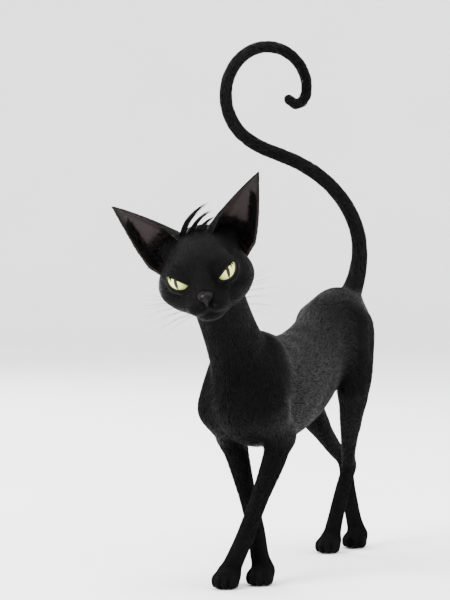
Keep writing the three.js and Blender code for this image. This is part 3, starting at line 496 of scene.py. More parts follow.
def melted(pieces, points, start=None):
    """The pieces' fields melted together, one after the other, each by its own blend."""
    total = np.full(len(points), FAR) if start is None else start.copy()
    for piece in pieces:
        near = within(points, piece["low"], piece["high"])
        if len(near):
            total[near] = melt(total[near], piece_field(piece, points[near]), piece["blend"])
    return total


# %% Trunk, neck and tail as pieces
def tail_stations():
    """The tail's centre line: each step goes along the heading at its middle. The radius falls like a
    quarter sine over the root and evenly after it."""
    rows = smooth_rows(TAIL["headings"], 8)
    count = TAIL["steps"]
    share = np.arange(count + 1) / count
    turn = np.radians(np.interp(np.minimum(1, share + 0.5 / count), rows[:, 0], rows[:, 1]))
    plane = math.radians(TAIL["plane_turn"])
    steps = np.stack([np.cos(turn) * math.cos(plane), np.cos(turn) * math.sin(plane), np.sin(turn)], -1)
    steps *= TAIL["length"] / count
    points = np.array(TAIL["root"], float) + np.concatenate([[[0, 0, 0]], np.cumsum(steps[:-1], 0)])
    narrowed = np.sin(np.minimum(share / TAIL["root_share"], 1) * np.pi / 2)
    root = TAIL["root_radius"] + (TAIL["mid_radius"] - TAIL["root_radius"]) * narrowed
    rest = np.interp(share, [TAIL["root_share"], 1], [TAIL["mid_radius"], TAIL["tip_radius"]])
    radius = np.where(share < TAIL["root_share"], root, rest)
    return np.column_stack([points, radius, radius])


stations = tail_stations()
trunk_flesh = [
    stretch([[0, y, (top + low) / 2, half, (top - low) / 2] for y, top, low, half in TRUNK], 10),
    lump([0, -40, 170], [19, 17, 22], 16),  # breast
    lump([0, 4, 219], [17, 30, 15], 14),  # withers
]
neck_flesh = [stretch(NECK, 14)]
tail_flesh = [
    stretch([[0, 236, 250, 18, 16], [0, 256, 254, 13.5, 13]], 14),
    stretch(stations, 9, steps=1),
]
print("tail tip at", np.round(stations[-1, :3], 1))


# %% Shoulder and foreleg
def between(a, b, share, lift=(0, 0, 0)):
    """A point some share of the way from a to b, one share or three."""
    return list(np.array(a) + (np.array(b) - np.array(a)) * share + np.array(lift))


def beside(a, lift):
    """A point moved by lift."""
    return between(a, a, 0, lift)


def shoulder_flesh(hip, elbow, **_):
    """Shoulder blade and upper arm, which lie on the trunk."""
    x, y, z = hip
    out = np.sign(x)
    blade = [
        [x - 8 * out, y + 30, z + 46, 9.5, 20],
        [x - out, y + 8, z + 12, 13.5, 24],
        [x, y, z - 6, 15, 20],
    ]
    arm = [beside(hip, (0, 0, -4)) + [14, 19], beside(elbow, (0, -4, 2)) + [12, 16]]
    return [stretch(blade, 14), stretch(arm, 12)]


def forearm_flesh(elbow, wrist, paw, **_):
    """Forearm down to the paw, with the points of elbow and wrist pad."""
    rows = [
        beside(elbow, (0, -4, 4)) + [12, 15],
        between(elbow, wrist, 0.22) + [10.6, 13],
        between(elbow, wrist, 0.62) + [8, 9],
        list(wrist) + [8, 8.6],
        between(wrist, paw, 0.6) + [8.5, 8.6],
        beside(paw, (0, 4, 3)) + [9.8, 8.8],
    ]
    return [
        stretch(rows, 8),
        lump(beside(elbow, (0, 6, -1)), [9, 8, 10], 8),
        lump(beside(wrist, (0, 4.4, -5)), [5.6, 4.2, 5.6], 4),
    ]


# %% Thigh, shank and metatarsus
def thigh_flesh(hip, knee, hock, **_):
    """The thigh's front muscle, and its back one, which runs on into the calf."""
    x, y, z = hip
    out = np.sign(x)
    front = [
        [x, y - 2, z, 13, 33],
        between(hip, knee, np.array([0.55, 0.45, 0.5])) + [15, 31],
        beside(knee, (0, 8, 0)) + [12, 22],
    ]
    back = [
        [x - 3 * out, y + 22, z - 2, 12, 14],
        [x + 2 * out, y + 17, z - 34, 11, 14],
        [x + (knee[0] - x) * 0.8, knee[1] + 33, z - 64, 9, 12],
        between(knee, hock, 0.42, (0, 9, 0)) + [6.5, 8.5],
    ]
    return [stretch(front, 15), stretch(back, 14)]


def shank_flesh(knee, hock, paw, **_):
    """Shank, hock and metatarsus down to the paw."""
    rows = [
        beside(knee, (0, 8, 4)) + [12, 21],
        between(knee, hock, 0.25, (0, 5, 0)) + [10.8, 18],
        between(knee, hock, np.array([0.5, 0.48, 0.5]), (0, 3, 0)) + [8.8, 13],
        between(knee, hock, np.array([0.8, 0.78, 0.8])) + [6.8, 9],
        list(hock) + [7, 8.2],
        between(hock, paw, np.array([0.35, 0.42, 0.35])) + [7.2, 8],
        between(hock, paw, np.array([0.76, 0.74, 0.76])) + [8, 8],
        beside(paw, (0, 5, 3)) + [9.6, 8.8],
    ]
    return [stretch(rows, 8), lump(beside(hock, (0, 6, 3)), [5, 5.4, 9], 6)]


# %% Paws
TOES = [[-8.2, -6], [-3, -11], [3, -11], [8.2, -6]]


def paw_flesh(paw):
    """A low pad with four toes that fan out in front of it."""
    px, py, pz = paw
    toes = [lump([px + dx, py + dy, pz - 4.2], [4.5, 8.6, 7.4], 2.6, -8) for dx, dy in TOES]
    return [lump([px, py - 1, pz - 1], [11, 12.8, 9.4], 6)] + toes


muscles, lower_legs = [], {}
for name, joints in LEGS.items():
    fore = name.startswith("fore")
    muscles += shoulder_flesh(**joints) if fore else thigh_flesh(**joints)
    lower_legs[name] = (forearm_flesh if fore else shank_flesh)(**joints) + paw_flesh(joints["paw"])
body_flesh = trunk_flesh + neck_flesh + tail_flesh + muscles
print("pieces of flesh:", len(body_flesh), "and", sum(map(len, lower_legs.values())), "in the legs")


# %% The head as pieces
def both(middle, half, blend, tip=0):
    """The same lump on the left and on the right."""
    x, y, z = middle
    return [lump([side * x, y, z], half, blend, tip) for side in (1, -1)]


def jaw(side):
    """One side of the lower jaw."""
    return stretch([[6 * side, -34, -28, 8, 7], [22 * side, -4, -25, 12, 11]], 8)


head_flesh = [
    lump([0, 7, 4], [33.5, 35, 30.5], 8),  # braincase
    lump([0, -14, 8], [26, 22, 21], 10),  # forehead
    *both([25, -5, -11], [18.5, 22, 19], 12),  # cheeks
    lump([0, -27, -13], [18.5, 22, 15.5], 10),  # muzzle
    stretch([[0, -20, 14, 10, 8], [0, -36, 4, 8, 7], [0, -48, -6, 7, 6]], 8),  # bridge of the nose
    *both([8.6, -42, -18.5], [11, 12.4, 8.6], 5.5),  # whisker pads
    lump([0, -39, -28.6], [9.6, 10, 7], 5),  # chin
    jaw(1),
    jaw(-1),
    *both([15, -24, 15], [12, 10, 7], 6),  # brows
    *both(EYE["middle"], [EYE["radius"] + EYE["lid"]] * 3, 4),  # lids over the eyes
    *both([24, 20, 14], [11, 11, 13], 10),  # roots of the ears
]
print("pieces in the head:", len(head_flesh))


# %% [markdown]
# ## The eyes' openings
#
# A cat's lids meet in a low almond that slants up and outwards. Each point near an eye is measured in the
# eye's own axes: along the slit, across it, and towards where the eye looks. The almond's upper and lower
# edges are two Bezier curves, and the skin is opened between them down to just under the eyeball's surface.

# %% Axes and almond of an eye
def eye_axes(side):
    """Rows: along the slit from the inner corner, across it, and where the eye looks. side is 1 or -1."""
    look = unit([0.3 * side, -0.945, 0.1])
    level = unit(np.array([side, 0, 0]) - look[0] * side * look)
    rise = np.array([0, 0, 1]) - look[2] * look
    rise = unit(rise - (rise @ level) * level)
    slant = math.radians(EYE["slant"])
    return np.array([level * math.cos(slant) + rise * math.sin(slant),
                     rise * math.cos(slant) - level * math.sin(slant), look])


def bezier(a, b, c, d, steps=40):
    """Points on a cubic Bezier curve."""
    t = np.linspace(0, 1, steps)[:, None]
    a, b, c, d = (np.array(p, float) for p in (a, b, c, d))
    return a * (1 - t) ** 3 + 3 * b * t * (1 - t) ** 2 + 3 * c * t**2 * (1 - t) + d * t**3


long, over, under = EYE["half_length"], EYE["over"], EYE["under"]
INNER_CORNER, OUTER_CORNER = (-long, -0.6), (long, 1.2)
upper_edge = bezier(INNER_CORNER, (-0.5 * long, 1.3 * over), (0.3 * long, 1.5 * over), OUTER_CORNER)
lower_edge = bezier(INNER_CORNER, (-0.55 * long, -1.75 * under), (0.75 * long, -under), OUTER_CORNER)


SIDES = ((1, "left"), (-1, "right"))


def mirrored(points, side):
    """The left side's points for side 1, and their mirror image for side -1."""
    return np.asarray(points) * [side, 1, 1]


def in_eye(points, side):
    """Points in the head's millimetres as (along, across, towards) of one eye."""
    return (points - mirrored(EYE["middle"], side)) @ eye_axes(side).T


def opening_field(points, side):
    """Negative inside the almond: how far a point is past the nearer edge, less at the slit's corners."""
    along, across, towards = in_eye(points, side).T
    top = np.interp(along, *upper_edge.T)
    bottom = np.interp(along, *lower_edge.T)
    past_corner = np.abs(along) - long
    field = np.maximum(np.maximum(across - top, bottom - across), past_corner)
    return np.where(towards > 0, field, FAR)


print("eye opening", 2 * long, "mm long,", round(float((upper_edge - lower_edge)[:, 1].max()), 1), "mm high")


# %% The whole cat's field
THINNEST, THICKER = 0.8, 1.1  # mm of coat over the skin everywhere, and more on the body
AROUND_HEAD = 60  # mm, farther than any part of the head but the ears
SOLE = 0.15  # the skin's flat soles stay just above the floor


def coat_depth(points):
    """How deep the skin lies under the coat's surface: least on the paws and the face."""
    from_head = np.linalg.norm(points - HEAD["middle"], axis=1)
    full = smooth_step(points[:, 2], 30, 150) * smooth_step(from_head, 48, 95)
    return THINNEST + THICKER * full


def head_field(points):
    """The head in its own frame."""
    return melted(head_flesh, into_head(points))


head_box = np.array(HEAD["middle"]) + [[-AROUND_HEAD], [AROUND_HEAD]]


def cat_field(points):
    """The coat's surface: trunk, neck and tail, each leg melted into them on its own, and the head."""
    body = melted(body_flesh, points)
    total = body.copy()
    for leg in lower_legs.values():
        low = np.min([piece["low"] for piece in leg], 0)
        high = np.max([piece["high"] for piece in leg], 0)
        near = within(points, low, high)
        total[near] = np.minimum(total[near], melted(leg, points[near], body[near]))
    near = within(points, *head_box)
    total[near] = melt(total[near], head_field(points[near]), 10)
    return total


def skin_field(points):
    """The skin: the coat's surface moved in by the coat's depth, flat on the floor, open at the eyes."""
    field = cat_field(points) + coat_depth(points)
    near = within(points, *head_box, 0)
    if len(near):
        inner = into_head(points[near])
        for side, _ in SIDES:
            ball = np.linalg.norm(inner - mirrored(EYE["middle"], side), axis=1) - (EYE["radius"] - 1)
            pit = np.maximum(opening_field(inner, side), -ball)
            field[near] = np.maximum(field[near], -pit)
    return np.maximum(field, SOLE - points[:, 2])


# %% [markdown]
# ## Drawing the skin
#
# The surface where a field is zero can be found on a grid: each cell that the surface crosses gets one point,
# and each grid edge that it crosses joins its four cells by a face. This is known as surface nets. It gives
# even quads and no slivers. The grid is finer over the head and the paws, and only blocks of cells that the
# surface can reach are worked out. At the end the points slide down the field's slope, exactly onto it.

# %% A grid that is finer where it matters
BLOCK = 6  # cells along each side of a block
STEEPEST = 1.6  # how much a field may change for each millimetre of way


def stops(places, steps):
    """Grid lines between places, with about the given step in each stretch."""
    made = [np.linspace(a, b, max(2, round((b - a) / step) + 1))[:-1]
            for a, b, step in zip(places[:-1], places[1:], steps)]
    made = np.concatenate(made + [[places[-1]]])
    spare = -(len(made) - 1) % BLOCK
    return np.concatenate([made, made[-1] + (made[-1] - made[-2]) * np.arange(1, spare + 1)])


# %% Surface nets on whole arrays
def surface_net(field, lines):
    """Points and quads of the surface where field is zero, on a grid with these lines along x, y, z."""
    blocks = [(len(line) - 1) // BLOCK for line in lines]
    middle = [(line[:-1:BLOCK] + line[BLOCK::BLOCK]) / 2 for line in lines]
    half = [(line[BLOCK::BLOCK] - line[:-1:BLOCK]) / 2 for line in lines]
    centre = np.stack(np.meshgrid(*middle, indexing="ij"), -1).reshape(-1, 3)
    reach = np.linalg.norm(np.stack(np.meshgrid(*half, indexing="ij"), -1).reshape(-1, 3), axis=1)
    live = np.flatnonzero(np.abs(field(centre)) < STEEPEST * reach + 1)
    base = np.stack(np.unravel_index(live, blocks), -1) * BLOCK

    # The field on every corner of the live blocks.
    step = np.arange(BLOCK + 1)
    local = np.stack(np.meshgrid(step, step, step, indexing="ij"), -1)
    index = base[:, None, None, None, :] + local
    place = np.stack([lines[axis][index[..., axis]] for axis in range(3)], -1)
    value = field(place.reshape(-1, 3)).reshape(index.shape[:-1])

    # One point for each crossed cell: the mean of where its edges are crossed.
    corner = np.array([[n & 1, n >> 1 & 1, n >> 2 & 1] for n in range(8)])
    corners = np.stack([value[:, x:BLOCK + x, y:BLOCK + y, z:BLOCK + z] for x, y, z in corner], -1)
    inside = corners < 0
    crossed = np.nonzero(inside.any(-1) & ~inside.all(-1))
    corners, inside = corners[crossed], inside[crossed]
    total, count = np.zeros((len(corners), 3)), np.zeros(len(corners))
    for a in range(8):
        for b in (a | 1, a | 2, a | 4):
            if a == b:
                continue
            cut = inside[:, a] != inside[:, b]
            fall = np.where(cut, corners[:, a] - corners[:, b], 1)
            share = np.where(cut, corners[:, a] / fall, 0)[:, None]
            total += cut[:, None] * (corner[a] + share * (corner[b] - corner[a]))
            count += cut
    cell = base[crossed[0]] + np.stack(crossed[1:], -1)
    low = np.stack([lines[axis][cell[:, axis]] for axis in range(3)], -1)
    high = np.stack([lines[axis][cell[:, axis] + 1] for axis in range(3)], -1)
    points = low + (high - low) * total / count[:, None]

    # One quad for each crossed grid edge, around its four cells.
    size = np.array([len(line) for line in lines])
    number = lambda at: (at[..., 0] * size[1] + at[..., 1]) * size[2] + at[..., 2]
    order = np.argsort(number(cell))
    known = number(cell)[order]
    quads = []
    for axis in range(3):
        ahead = np.eye(3, dtype=int)[axis]
        first = value[:, :BLOCK, :BLOCK, :BLOCK] < 0
        cut = [slice(shift, BLOCK + shift) for shift in ahead]
        second = value[:, cut[0], cut[1], cut[2]] < 0
        found = np.nonzero(first != second)
        at = base[found[0]] + np.stack(found[1:], -1)
        u, v = np.eye(3, dtype=int)[(axis + 1) % 3], np.eye(3, dtype=int)[(axis + 2) % 3]
        ring = np.stack([number(at), number(at - u), number(at - u - v), number(at - v)], -1)
        ring = order[np.searchsorted(known, ring)]
        ring[second[found]] = ring[second[found]][:, ::-1]
        quads.append(ring)
    return points, np.concatenate(quads)


# %% Down to the surface
def slope(field, points, step=0.25):
    """The field's mean value near each point and its slope, from four samples at a tetrahedron's corners."""
    arms = np.array([[1, -1, -1], [-1, -1, 1], [-1, 1, -1], [1, 1, 1]])
    samples = np.stack([field(points + step * arm) for arm in arms], -1)
    return samples.mean(-1), samples @ arms / (4 * step)


def settled(field, points, limit, turns=2):
    """Points moved down the slope onto the surface, by at most limit each time."""
    for _ in range(turns):
        value, rise = slope(field, points)
        steep = np.maximum((rise**2).sum(1), 0.2)
        points = points - rise * np.clip(value / steep, -limit, limit)[:, None]
    return points


# %% The skin
grid = [
    stops([-100, -62, 50, 82], [2.6, 1.25, 2.0]),
    stops([-180, -118, -62, 300], [1.0, 1.3, 2.5]),
    stops([-4, 46, 238, 348, 650], [1.3, 2.5, 1.05, 2.5]),
]
print("grid lines:", [len(line) for line in grid])
skin_points, skin_quads = surface_net(skin_field, grid)
skin_points = settled(skin_field, skin_points, 0.5)
print("skin:", len(skin_points), "points,", 2 * len(skin_quads), "triangles")
skin = add_mesh("skin", to_frame(skin_points), skin_quads)

# %% [markdown]
# ## The lie of the coat
#
# Fur lies along the body: back from the nose over the face, down the neck and legs, back along the trunk and
# out along the tail. Combing each hair by hand isn't needed: a few guide lines run through the body, each
# point takes the direction of the lines it is nearest to, and the direction is then laid flat on the skin.
# The guides also carry the coat's length, and they unwrap the body: each point has a place along its guide
# and an angle around it.

# %% Guide lines, each row x, y, z, half-width, half-depth, coat length
def leg_guide(name, joints):
    """A guide down one leg: from the muscle on the trunk to the toes."""
    hip, paw = joints["hip"], joints["paw"]
    if name.startswith("fore"):
        elbow, wrist = joints["elbow"], joints["wrist"]
        down = [beside(hip, (-7 * np.sign(hip[0]), 20, 34)) + [9, 21, 11], hip + [15, 21, 10],
                beside(elbow, (0, -3, 3)) + [11, 15, 8.5], between(elbow, wrist, 0.5) + [8.5, 10, 6.5],
                wrist + [8, 8.6, 5]]
    else:
        knee, hock = joints["knee"], joints["hock"]
        down = [beside(hip, (0, -2, 6)) + [13, 33, 11], between(hip, knee, 0.5, (0, 4, 0)) + [14, 31, 10],
                beside(knee, (0, 10, 2)) + [11, 20, 8.5], between(knee, hock, 0.55, (0, 3, 0)) + [8, 12, 7],
                hock + [7, 8.2, 5.5], between(hock, paw, 0.5) + [7.5, 8, 4.8]]
    foot = [beside(paw, (0, 5, 9)) + [9.5, 9, 4.2], beside(paw, (0, -8, 0)) + [10, 8, 3.6],
            beside(paw, (0, -17, -4)) + [8, 6, 3.2]]
    return stretch(down + foot, 1)


tail_coat = np.interp(np.arange(2, len(stations)), [2, 12, TAIL["steps"]], [10, 8.5, 7])
GUIDES = {
    "trunk": stretch([
        [0, -40, 182, 20, 28, 10], [0, -10, 180, 32, 46, 11], [0, 56, 178, 39, 51, 12],
        [0, 104, 184, 38, 47, 12], [0, 150, 199, 34, 42, 12], [0, 200, 220, 31, 41, 12],
        [0, 240, 237, 29, 36, 11], [0, 262, 240, 22, 26, 10],
    ], 1),
    "neck": stretch([
        [-6, -92, 300, 22, 24, 7], [-4, -73, 268, 23, 27, 8], [-2, -54, 241, 23.5, 28.5, 9],
        [0, -34, 212, 25.5, 33, 10.5], [0, -20, 184, 26, 34, 11],
    ], 1),
    **{name: leg_guide(name, joints) for name, joints in LEGS.items()},
    "tail": stretch(np.column_stack([stations[2:], tail_coat]), 1, steps=1),
}
print("guides:", ", ".join(GUIDES), "and the head")

# %% The coat at any point
NOSE_TIP = np.array([0, -72, -14])  # the coat runs away from a point just before the nose
MIXING = 6  # mm of distance over which one guide gives way to the next
FACE_COAT, NAPE_COAT = 2.3, 3.2  # mm of coat at the nose, and how much more behind the ears
HALF_HEAD = 62  # mm, from the head's middle to either end of its unwrap


def guided(points):
    """For each point: the coat's direction (not yet laid flat), its length, its nearest guide and its place
    on the unwrap. A guide's weight falls by a factor of e for each few millimetres more of distance."""
    inner = into_head(points)
    head = head_field(points)
    away = inner - NOSE_TIP
    from_nose = np.linalg.norm(away, axis=1)
    found = []
    for guide in GUIDES.values():
        value, span, share = piece_field(guide, points, follow=True)
        offset = points - guide["start"][span, :3]
        angle = np.arctan2((offset * guide["across"][span]).sum(1), (offset * guide["deep"][span]).sum(1))
        before = np.concatenate([[0], np.cumsum(guide["length"])])
        run = (before[span] + share * guide["length"][span]) / before[-1]
        coat = guide["start"][span, 5] + share * (guide["end"][span, 5] - guide["start"][span, 5])
        found.append((value, guide["along"][span], coat, angle / (2 * np.pi) + 0.5, run))
    around = np.arctan2(inner[:, 0], inner[:, 2]) / (2 * np.pi) + 0.5
    coat = FACE_COAT + NAPE_COAT * smooth_step(from_nose, 22, 80)
    run = (inner[:, 1] + HALF_HEAD) / (2 * HALF_HEAD)
    found.append((head, unit(away) @ head_turn.T, coat, around, run))
    value = np.stack([one[0] for one in found], 1)
    weight = np.exp(-(value - value.min(1, keepdims=True)) / MIXING)
    weight /= weight.sum(1, keepdims=True)
    lie = sum(weight[:, i, None] * one[1] for i, one in enumerate(found))
    length = sum(weight[:, i] * one[2] for i, one in enumerate(found))
    nearest = value.argmin(1)
    pick = lambda column: np.stack([one[column] for one in found], 1)[np.arange(len(points)), nearest]
    return lie, length, nearest, np.stack([pick(3), np.clip(pick(4), 0, 1)], 1)


def laid_flat(lie, normal):
    """The direction with its part along the normal taken out."""
    return unit(lie - (lie * normal).sum(1, keepdims=True) * normal)


# %% [markdown]
# ## Tufts
#
# Single hairs are far too fine for a mesh. What the eye sees on a sleek cat is small tufts: hairs that lie
# together and end in one point. Each tuft here is a thin solid blade: a point just under the skin, a
# three-cornered ring where it is widest, and a tip. It lies along the coat, bends at the ring as the body
# curves, and rises a little, so that the next tufts overlap it. Six faces a tuft leave room for many tufts.

# %% Blades from centre lines
FLATNESS = 0.34  # a blade's height over its width


def blade_mesh(lines, across, up, widths):
    """Solid blades that start and end in a point. lines: root, rings and tip of each blade; across, up and
    widths: one for each ring. A ring's corners lie half a width to each side, and FLATNESS * width up."""
    count, rings = widths.shape
    middle = lines[:, 1:-1]
    half = widths[..., None] * across / 2
    ridge = widths[..., None] * up * FLATNESS
    ring = np.stack([middle - half, middle + half, middle + ridge], 2)
    points = np.concatenate([lines[:, :1], ring.reshape(count, rings * 3, 3), lines[:, -1:]], 1)
    tip, last = 3 * rings + 1, 3 * rings - 2
    faces = []
    for a, b in ((0, 1), (1, 2), (2, 0)):
        faces += [[0, 1 + a, 1 + b], [last + b, last + a, tip]]
        for low in range(1, last, 3):
            faces += [[low + b, low + a, low + 3 + a], [low + b, low + 3 + a, low + 3 + b]]
    faces = np.array(faces)[None] + (np.arange(count) * (tip + 1))[:, None, None]
    along = np.concatenate([[0.0], np.repeat(np.arange(1, rings + 1) / (rings + 1), 3), [1.0]])
    side = np.concatenate([[0.5], np.tile([0.0, 1.0, 0.5], rings), [0.5]])
    return points.reshape(-1, 3), faces.reshape(-1, 3), np.tile(along, count), np.tile(side, count)


PATCH = 0.003  # of the unwrap's width: the patch of one tuft


def add_tufts(name, lines, across, up, widths, tone, spots, material):
    """Blades as one piece. Each has its own tone and a small patch of the unwrap at its root's place."""
    points, faces, along, side = blade_mesh(lines, across, up, widths)
    made = add_mesh(name, to_frame(points), faces)
    per_blade = len(points) // len(lines)
    add_point_value(made, "along", along)
    add_point_value(made, "tone", np.repeat(tone, per_blade))
    corner = np.stack([side - 0.5, along - 0.5], 1) * PATCH
    add_uv(made, "OFBake", np.clip(np.repeat(spots, per_blade, 0) * 0.99 + 0.005 + corner, 0, 1))
    return dress(made, material)


# %% Finish of fur and skin
def fur_material():
    """Glossy black hair: darkest at the root, a little brown at the tip, each tuft with its own tone."""
    made, tree, shader = new_material("black_fur", Specular_IOR_Level=0.15)
    place = own_place(tree)
    hair = ramp(tree, attribute(tree, "along"), [
        (0, (0.0015, 0.0015, 0.0015)), (0.55, (0.003, 0.0028, 0.003)), (1, (0.008, 0.0066, 0.0062)),
    ])
    tones = maths(tree, "MULTIPLY_ADD", attribute(tree, "tone"), 0.7, noise(tree, place, 38.0, 3.0))
    grey = ramp(tree, tones, [(0.35, 0.7), (1.0, 1.5)])
    tree.links.new(multiplied(tree, hair, grey), shader.inputs["Base Color"])
    gloss = {"Value": tones, "From Min": 0.3, "From Max": 1.2, "To Min": 0.4, "To Max": 0.6}
    tree.links.new(add_node(tree, "MapRange", gloss), shader.inputs["Roughness"])
    add_bump(tree, shader, noise(tree, place, 2600.0, 2.0), 0.25, 0.0002)
    return made


fur = fur_material()
# The skin and woolly undercoat between the tufts are nearly black and dull.
hide = grained("undercoat", 900.0, 4.0, [(0.3, 0.003), (0.7, (0.010, 0.009, 0.009))], 0.5, 0.0006,
               Roughness=0.75, Specular_IOR_Level=0.25)
dress(skin, hide)

# %% Where the tufts are rooted
random = np.random.default_rng(7)
COVER = 3.4  # how many tufts lie over one another


def tuft_width(length):
    """Longer tufts are wider."""
    return 0.20 + 0.072 * length


def scatter(points, quads):
    """Root points spread over the skin. Each face gets tufts in proportion to its area and to how densely
    tufts of its length must stand to cover it; steps of even size along the running total place them."""
    corner = points[quads]
    middle = corner.mean(1)
    area = np.linalg.norm(np.cross(corner[:, 2] - corner[:, 0], corner[:, 3] - corner[:, 1]), axis=1) / 2
    length = guided(middle)[1]
    wanted = np.cumsum(area * COVER / (0.5 * tuft_width(length) * length))
    count = int(wanted[-1])
    face = np.searchsorted(wanted, (np.arange(count) + random.random(count)) * wanted[-1] / count)
    face = np.minimum(face, len(quads) - 1)
    u, v = random.random((2, count, 1))
    corner = corner[face]
    near, far = corner[:, 0] * (1 - u) + corner[:, 1] * u, corner[:, 3] * (1 - u) + corner[:, 2] * u
    return near * (1 - v) + far * v


roots = scatter(skin_points, skin_quads)
print("tufts wanted:", len(roots))


# %% Bare places
nose_flesh = [lump([0, -50.6, -8.4], [6.4, 6.2, 4.6], 2), lump([0, -53, -12.6], [2, 2.6, 4.4], 2.4)]
SOLE_EDGE = 1.2  # mm over the floor: no tuft is rooted below


def bare(points):
    """True inside the eyes' openings and rims, on the nose leather and under the soles."""
    inner = into_head(points)
    none = points[:, 2] < SOLE_EDGE
    for side, _ in SIDES:
        near_eye = np.linalg.norm(inner - mirrored(EYE["middle"], side), axis=1) < 18
        none |= near_eye & (opening_field(inner, side) < 0.7)
    return none | (melted(nose_flesh, inner) < 0.5)


# %% Combing
ROOT_DEPTH = 0.35  # mm under the skin
RING = dict(rise=0.62, place=0.4)  # where a tuft is widest: shares of the tip's height and of the length
STRAY, SWING = 0.15, 0.16  # radians: each tuft's own turn, and that of the coat's slow waves


def combed(start):
    """Marches each tuft over the skin along the lie: root, ring and tip, each held at its own height above
    the skin. Returns the lines, the rings' two axes, and each tuft's length and tone."""
    count = len(start)
    length = guided(start)[1] * (0.75 + 0.5 * random.random(count))
    tone = random.random(count)
    rise = coat_depth(start) * (0.55 + 0.8 * random.random(count))
    wave = np.sin(start[:, 1] / 7 + 2 * np.sin(start[:, 2] / 11))
    turn = random.normal(0, STRAY, count) + SWING * wave
    point, line, across, ups = start, [], [], []
    steps = ((0 * rise - ROOT_DEPTH, RING["place"]), (RING["rise"] * rise, 1 - RING["place"]), (rise, 0))
    for height, ahead in steps:
        value, normal = slope(skin_field, point)
        normal = unit(normal)
        point = point + normal * (height - value)[:, None]
        line.append(point)
        lie = laid_flat(guided(point)[0], normal)
        side = np.cross(normal, lie)
        lie = lie * np.cos(turn)[:, None] + side * np.sin(turn)[:, None]
        across.append(np.cross(normal, lie))
        ups.append(normal)
        point = point + lie * (length * ahead)[:, None]
    return np.stack(line, 1), across[1][:, None], ups[1][:, None], length, tone


roots = roots[~bare(roots)]
lines, across, ups, lengths, tones = combed(roots)
print("tufts combed:", len(lines))
clear = ~(bare(lines[:, 1]) | bare(lines[:, 2]))
widths = (tuft_width(lengths) * (0.75 + 0.5 * random.random(len(lines))))[:, None]
_, _, region, spots = guided(roots)

# %% The coat in pieces
MOST = 32000  # tufts in one piece, to keep each piece light
coat = []
for number, name in enumerate([*GUIDES, "head"]):
    mine = np.flatnonzero((region == number) & clear)
    mine = mine[np.argsort(spots[mine, 1], kind="stable")]
    for part, some in enumerate(np.array_split(mine, max(1, math.ceil(len(mine) / MOST)))):
        title = f"coat_{name}_{part + 1}" if len(mine) > MOST else f"coat_{name}"
        coat.append(add_tufts(title, lines[some], across[some], ups[some], widths[some], tones[some],
                              spots[some], fur))
        print(title, len(some))

# %% [markdown]
# ## Ears
#
# A cat's ear is a thin cup of cartilage. Its section is an arc that opens forwards, wide at the skull and
# flatter towards the tip. The outer edge has a small fold near its foot, and the inside shows bare, dark
# skin between fine hairs. The cup is one closed sheet: the outer face runs out, turns over the rim and runs
# back as the inner face.

# %% The ear's own axes and section
ear_axis = unit(EAR["axis"])
ear_facing = unit(np.array(EAR["facing"]) - (np.array(EAR["facing"]) @ ear_axis) * ear_axis)
ear_side = np.cross(ear_facing, ear_axis)


def bell(value, middle, width):
    """1 at the middle, falling off softly on both sides: e to the power of -((value - middle) / width)^2."""
    return np.exp(-((value - middle) / width) ** 2)


def ear_point(height, turn, inset):
    """A point of the cup. Its section is an oval arc: width * sin(turn) to the side and depth * cos(turn)
    to the back, both shrinking with height. Near the foot the outer edge folds over a little."""
    up = np.maximum(height, 0)
    width = EAR["half_width"] * (1 - up**1.35) ** 0.92 * (1 - 0.35 * np.maximum(-height, 0)) - inset
    depth = EAR["depth"] * (1 - up) ** 0.75 - inset
    spread = np.radians(EAR["spread"][0] + (EAR["spread"][1] - EAR["spread"][0]) * up)
    angle = spread * turn
    pocket = 1.6 * bell(up, 0.2, 0.09) * bell(turn, 0.9, 0.12)
    wave = 0.35 * np.sin(9 * turn) * np.sin(np.pi * np.clip(up * 1.6, 0, 1)) * (inset > 0.9)
    back = np.maximum(depth, 0.1) * np.cos(angle) + EAR["bend"] * up * up + pocket + wave
    return (np.array(EAR["root"]) + (height * EAR["height"])[..., None] * ear_axis
            + (np.maximum(width, 0.15) * np.sin(angle))[..., None] * ear_side - back[..., None] * ear_facing)


# %% Cups of the ears
EAR_FOOT = -0.3  # of the ear's height: how far its foot is sunk
EAR_COAT = 0.45  # the skin lies this deep under the coat on the ear's back


def add_ear(side, name, material):
    """A closed sheet: rows up the ear, columns once around its section: back face, rim, inner face, rim."""
    rows, columns = 60, 44
    height = EAR_FOOT + (EAR["top"] - EAR_FOOT) * np.linspace(0, 1, rows)[:, None]
    turn = np.linspace(-1, 1, columns)[None, :]
    thick = np.interp(np.maximum(height, 0), [0, 1], EAR["thickness"])
    back = ear_point(*np.broadcast_arrays(height, turn, EAR_COAT + 0 * turn))
    front = ear_point(*np.broadcast_arrays(height, 0.985 * turn[:, ::-1], thick + 0 * turn))
    ring = mirrored(np.concatenate([back, front], 1), side)
    inner = np.zeros(ring.shape[:2])
    inner[:, columns:] = 1
    faces = grid_faces(rows, 2 * columns, closed=True)
    top = (rows - 1) * 2 * columns
    i = np.arange(columns - 1)
    cap = np.stack([i, i + 1, 2 * columns - 2 - i, 2 * columns - 1 - i], -1)
    faces = np.concatenate([faces, cap[:, ::-1], cap + top])
    faces = faces if side < 0 else faces[:, ::-1]
    made = add_mesh(name, to_frame(out_of_head(ring.reshape(-1, 3))), faces)
    add_point_value(made, "inner", inner.ravel())
    add_point_value(made, "height", np.repeat(height[:, 0], 2 * columns))
    dress(made, material)


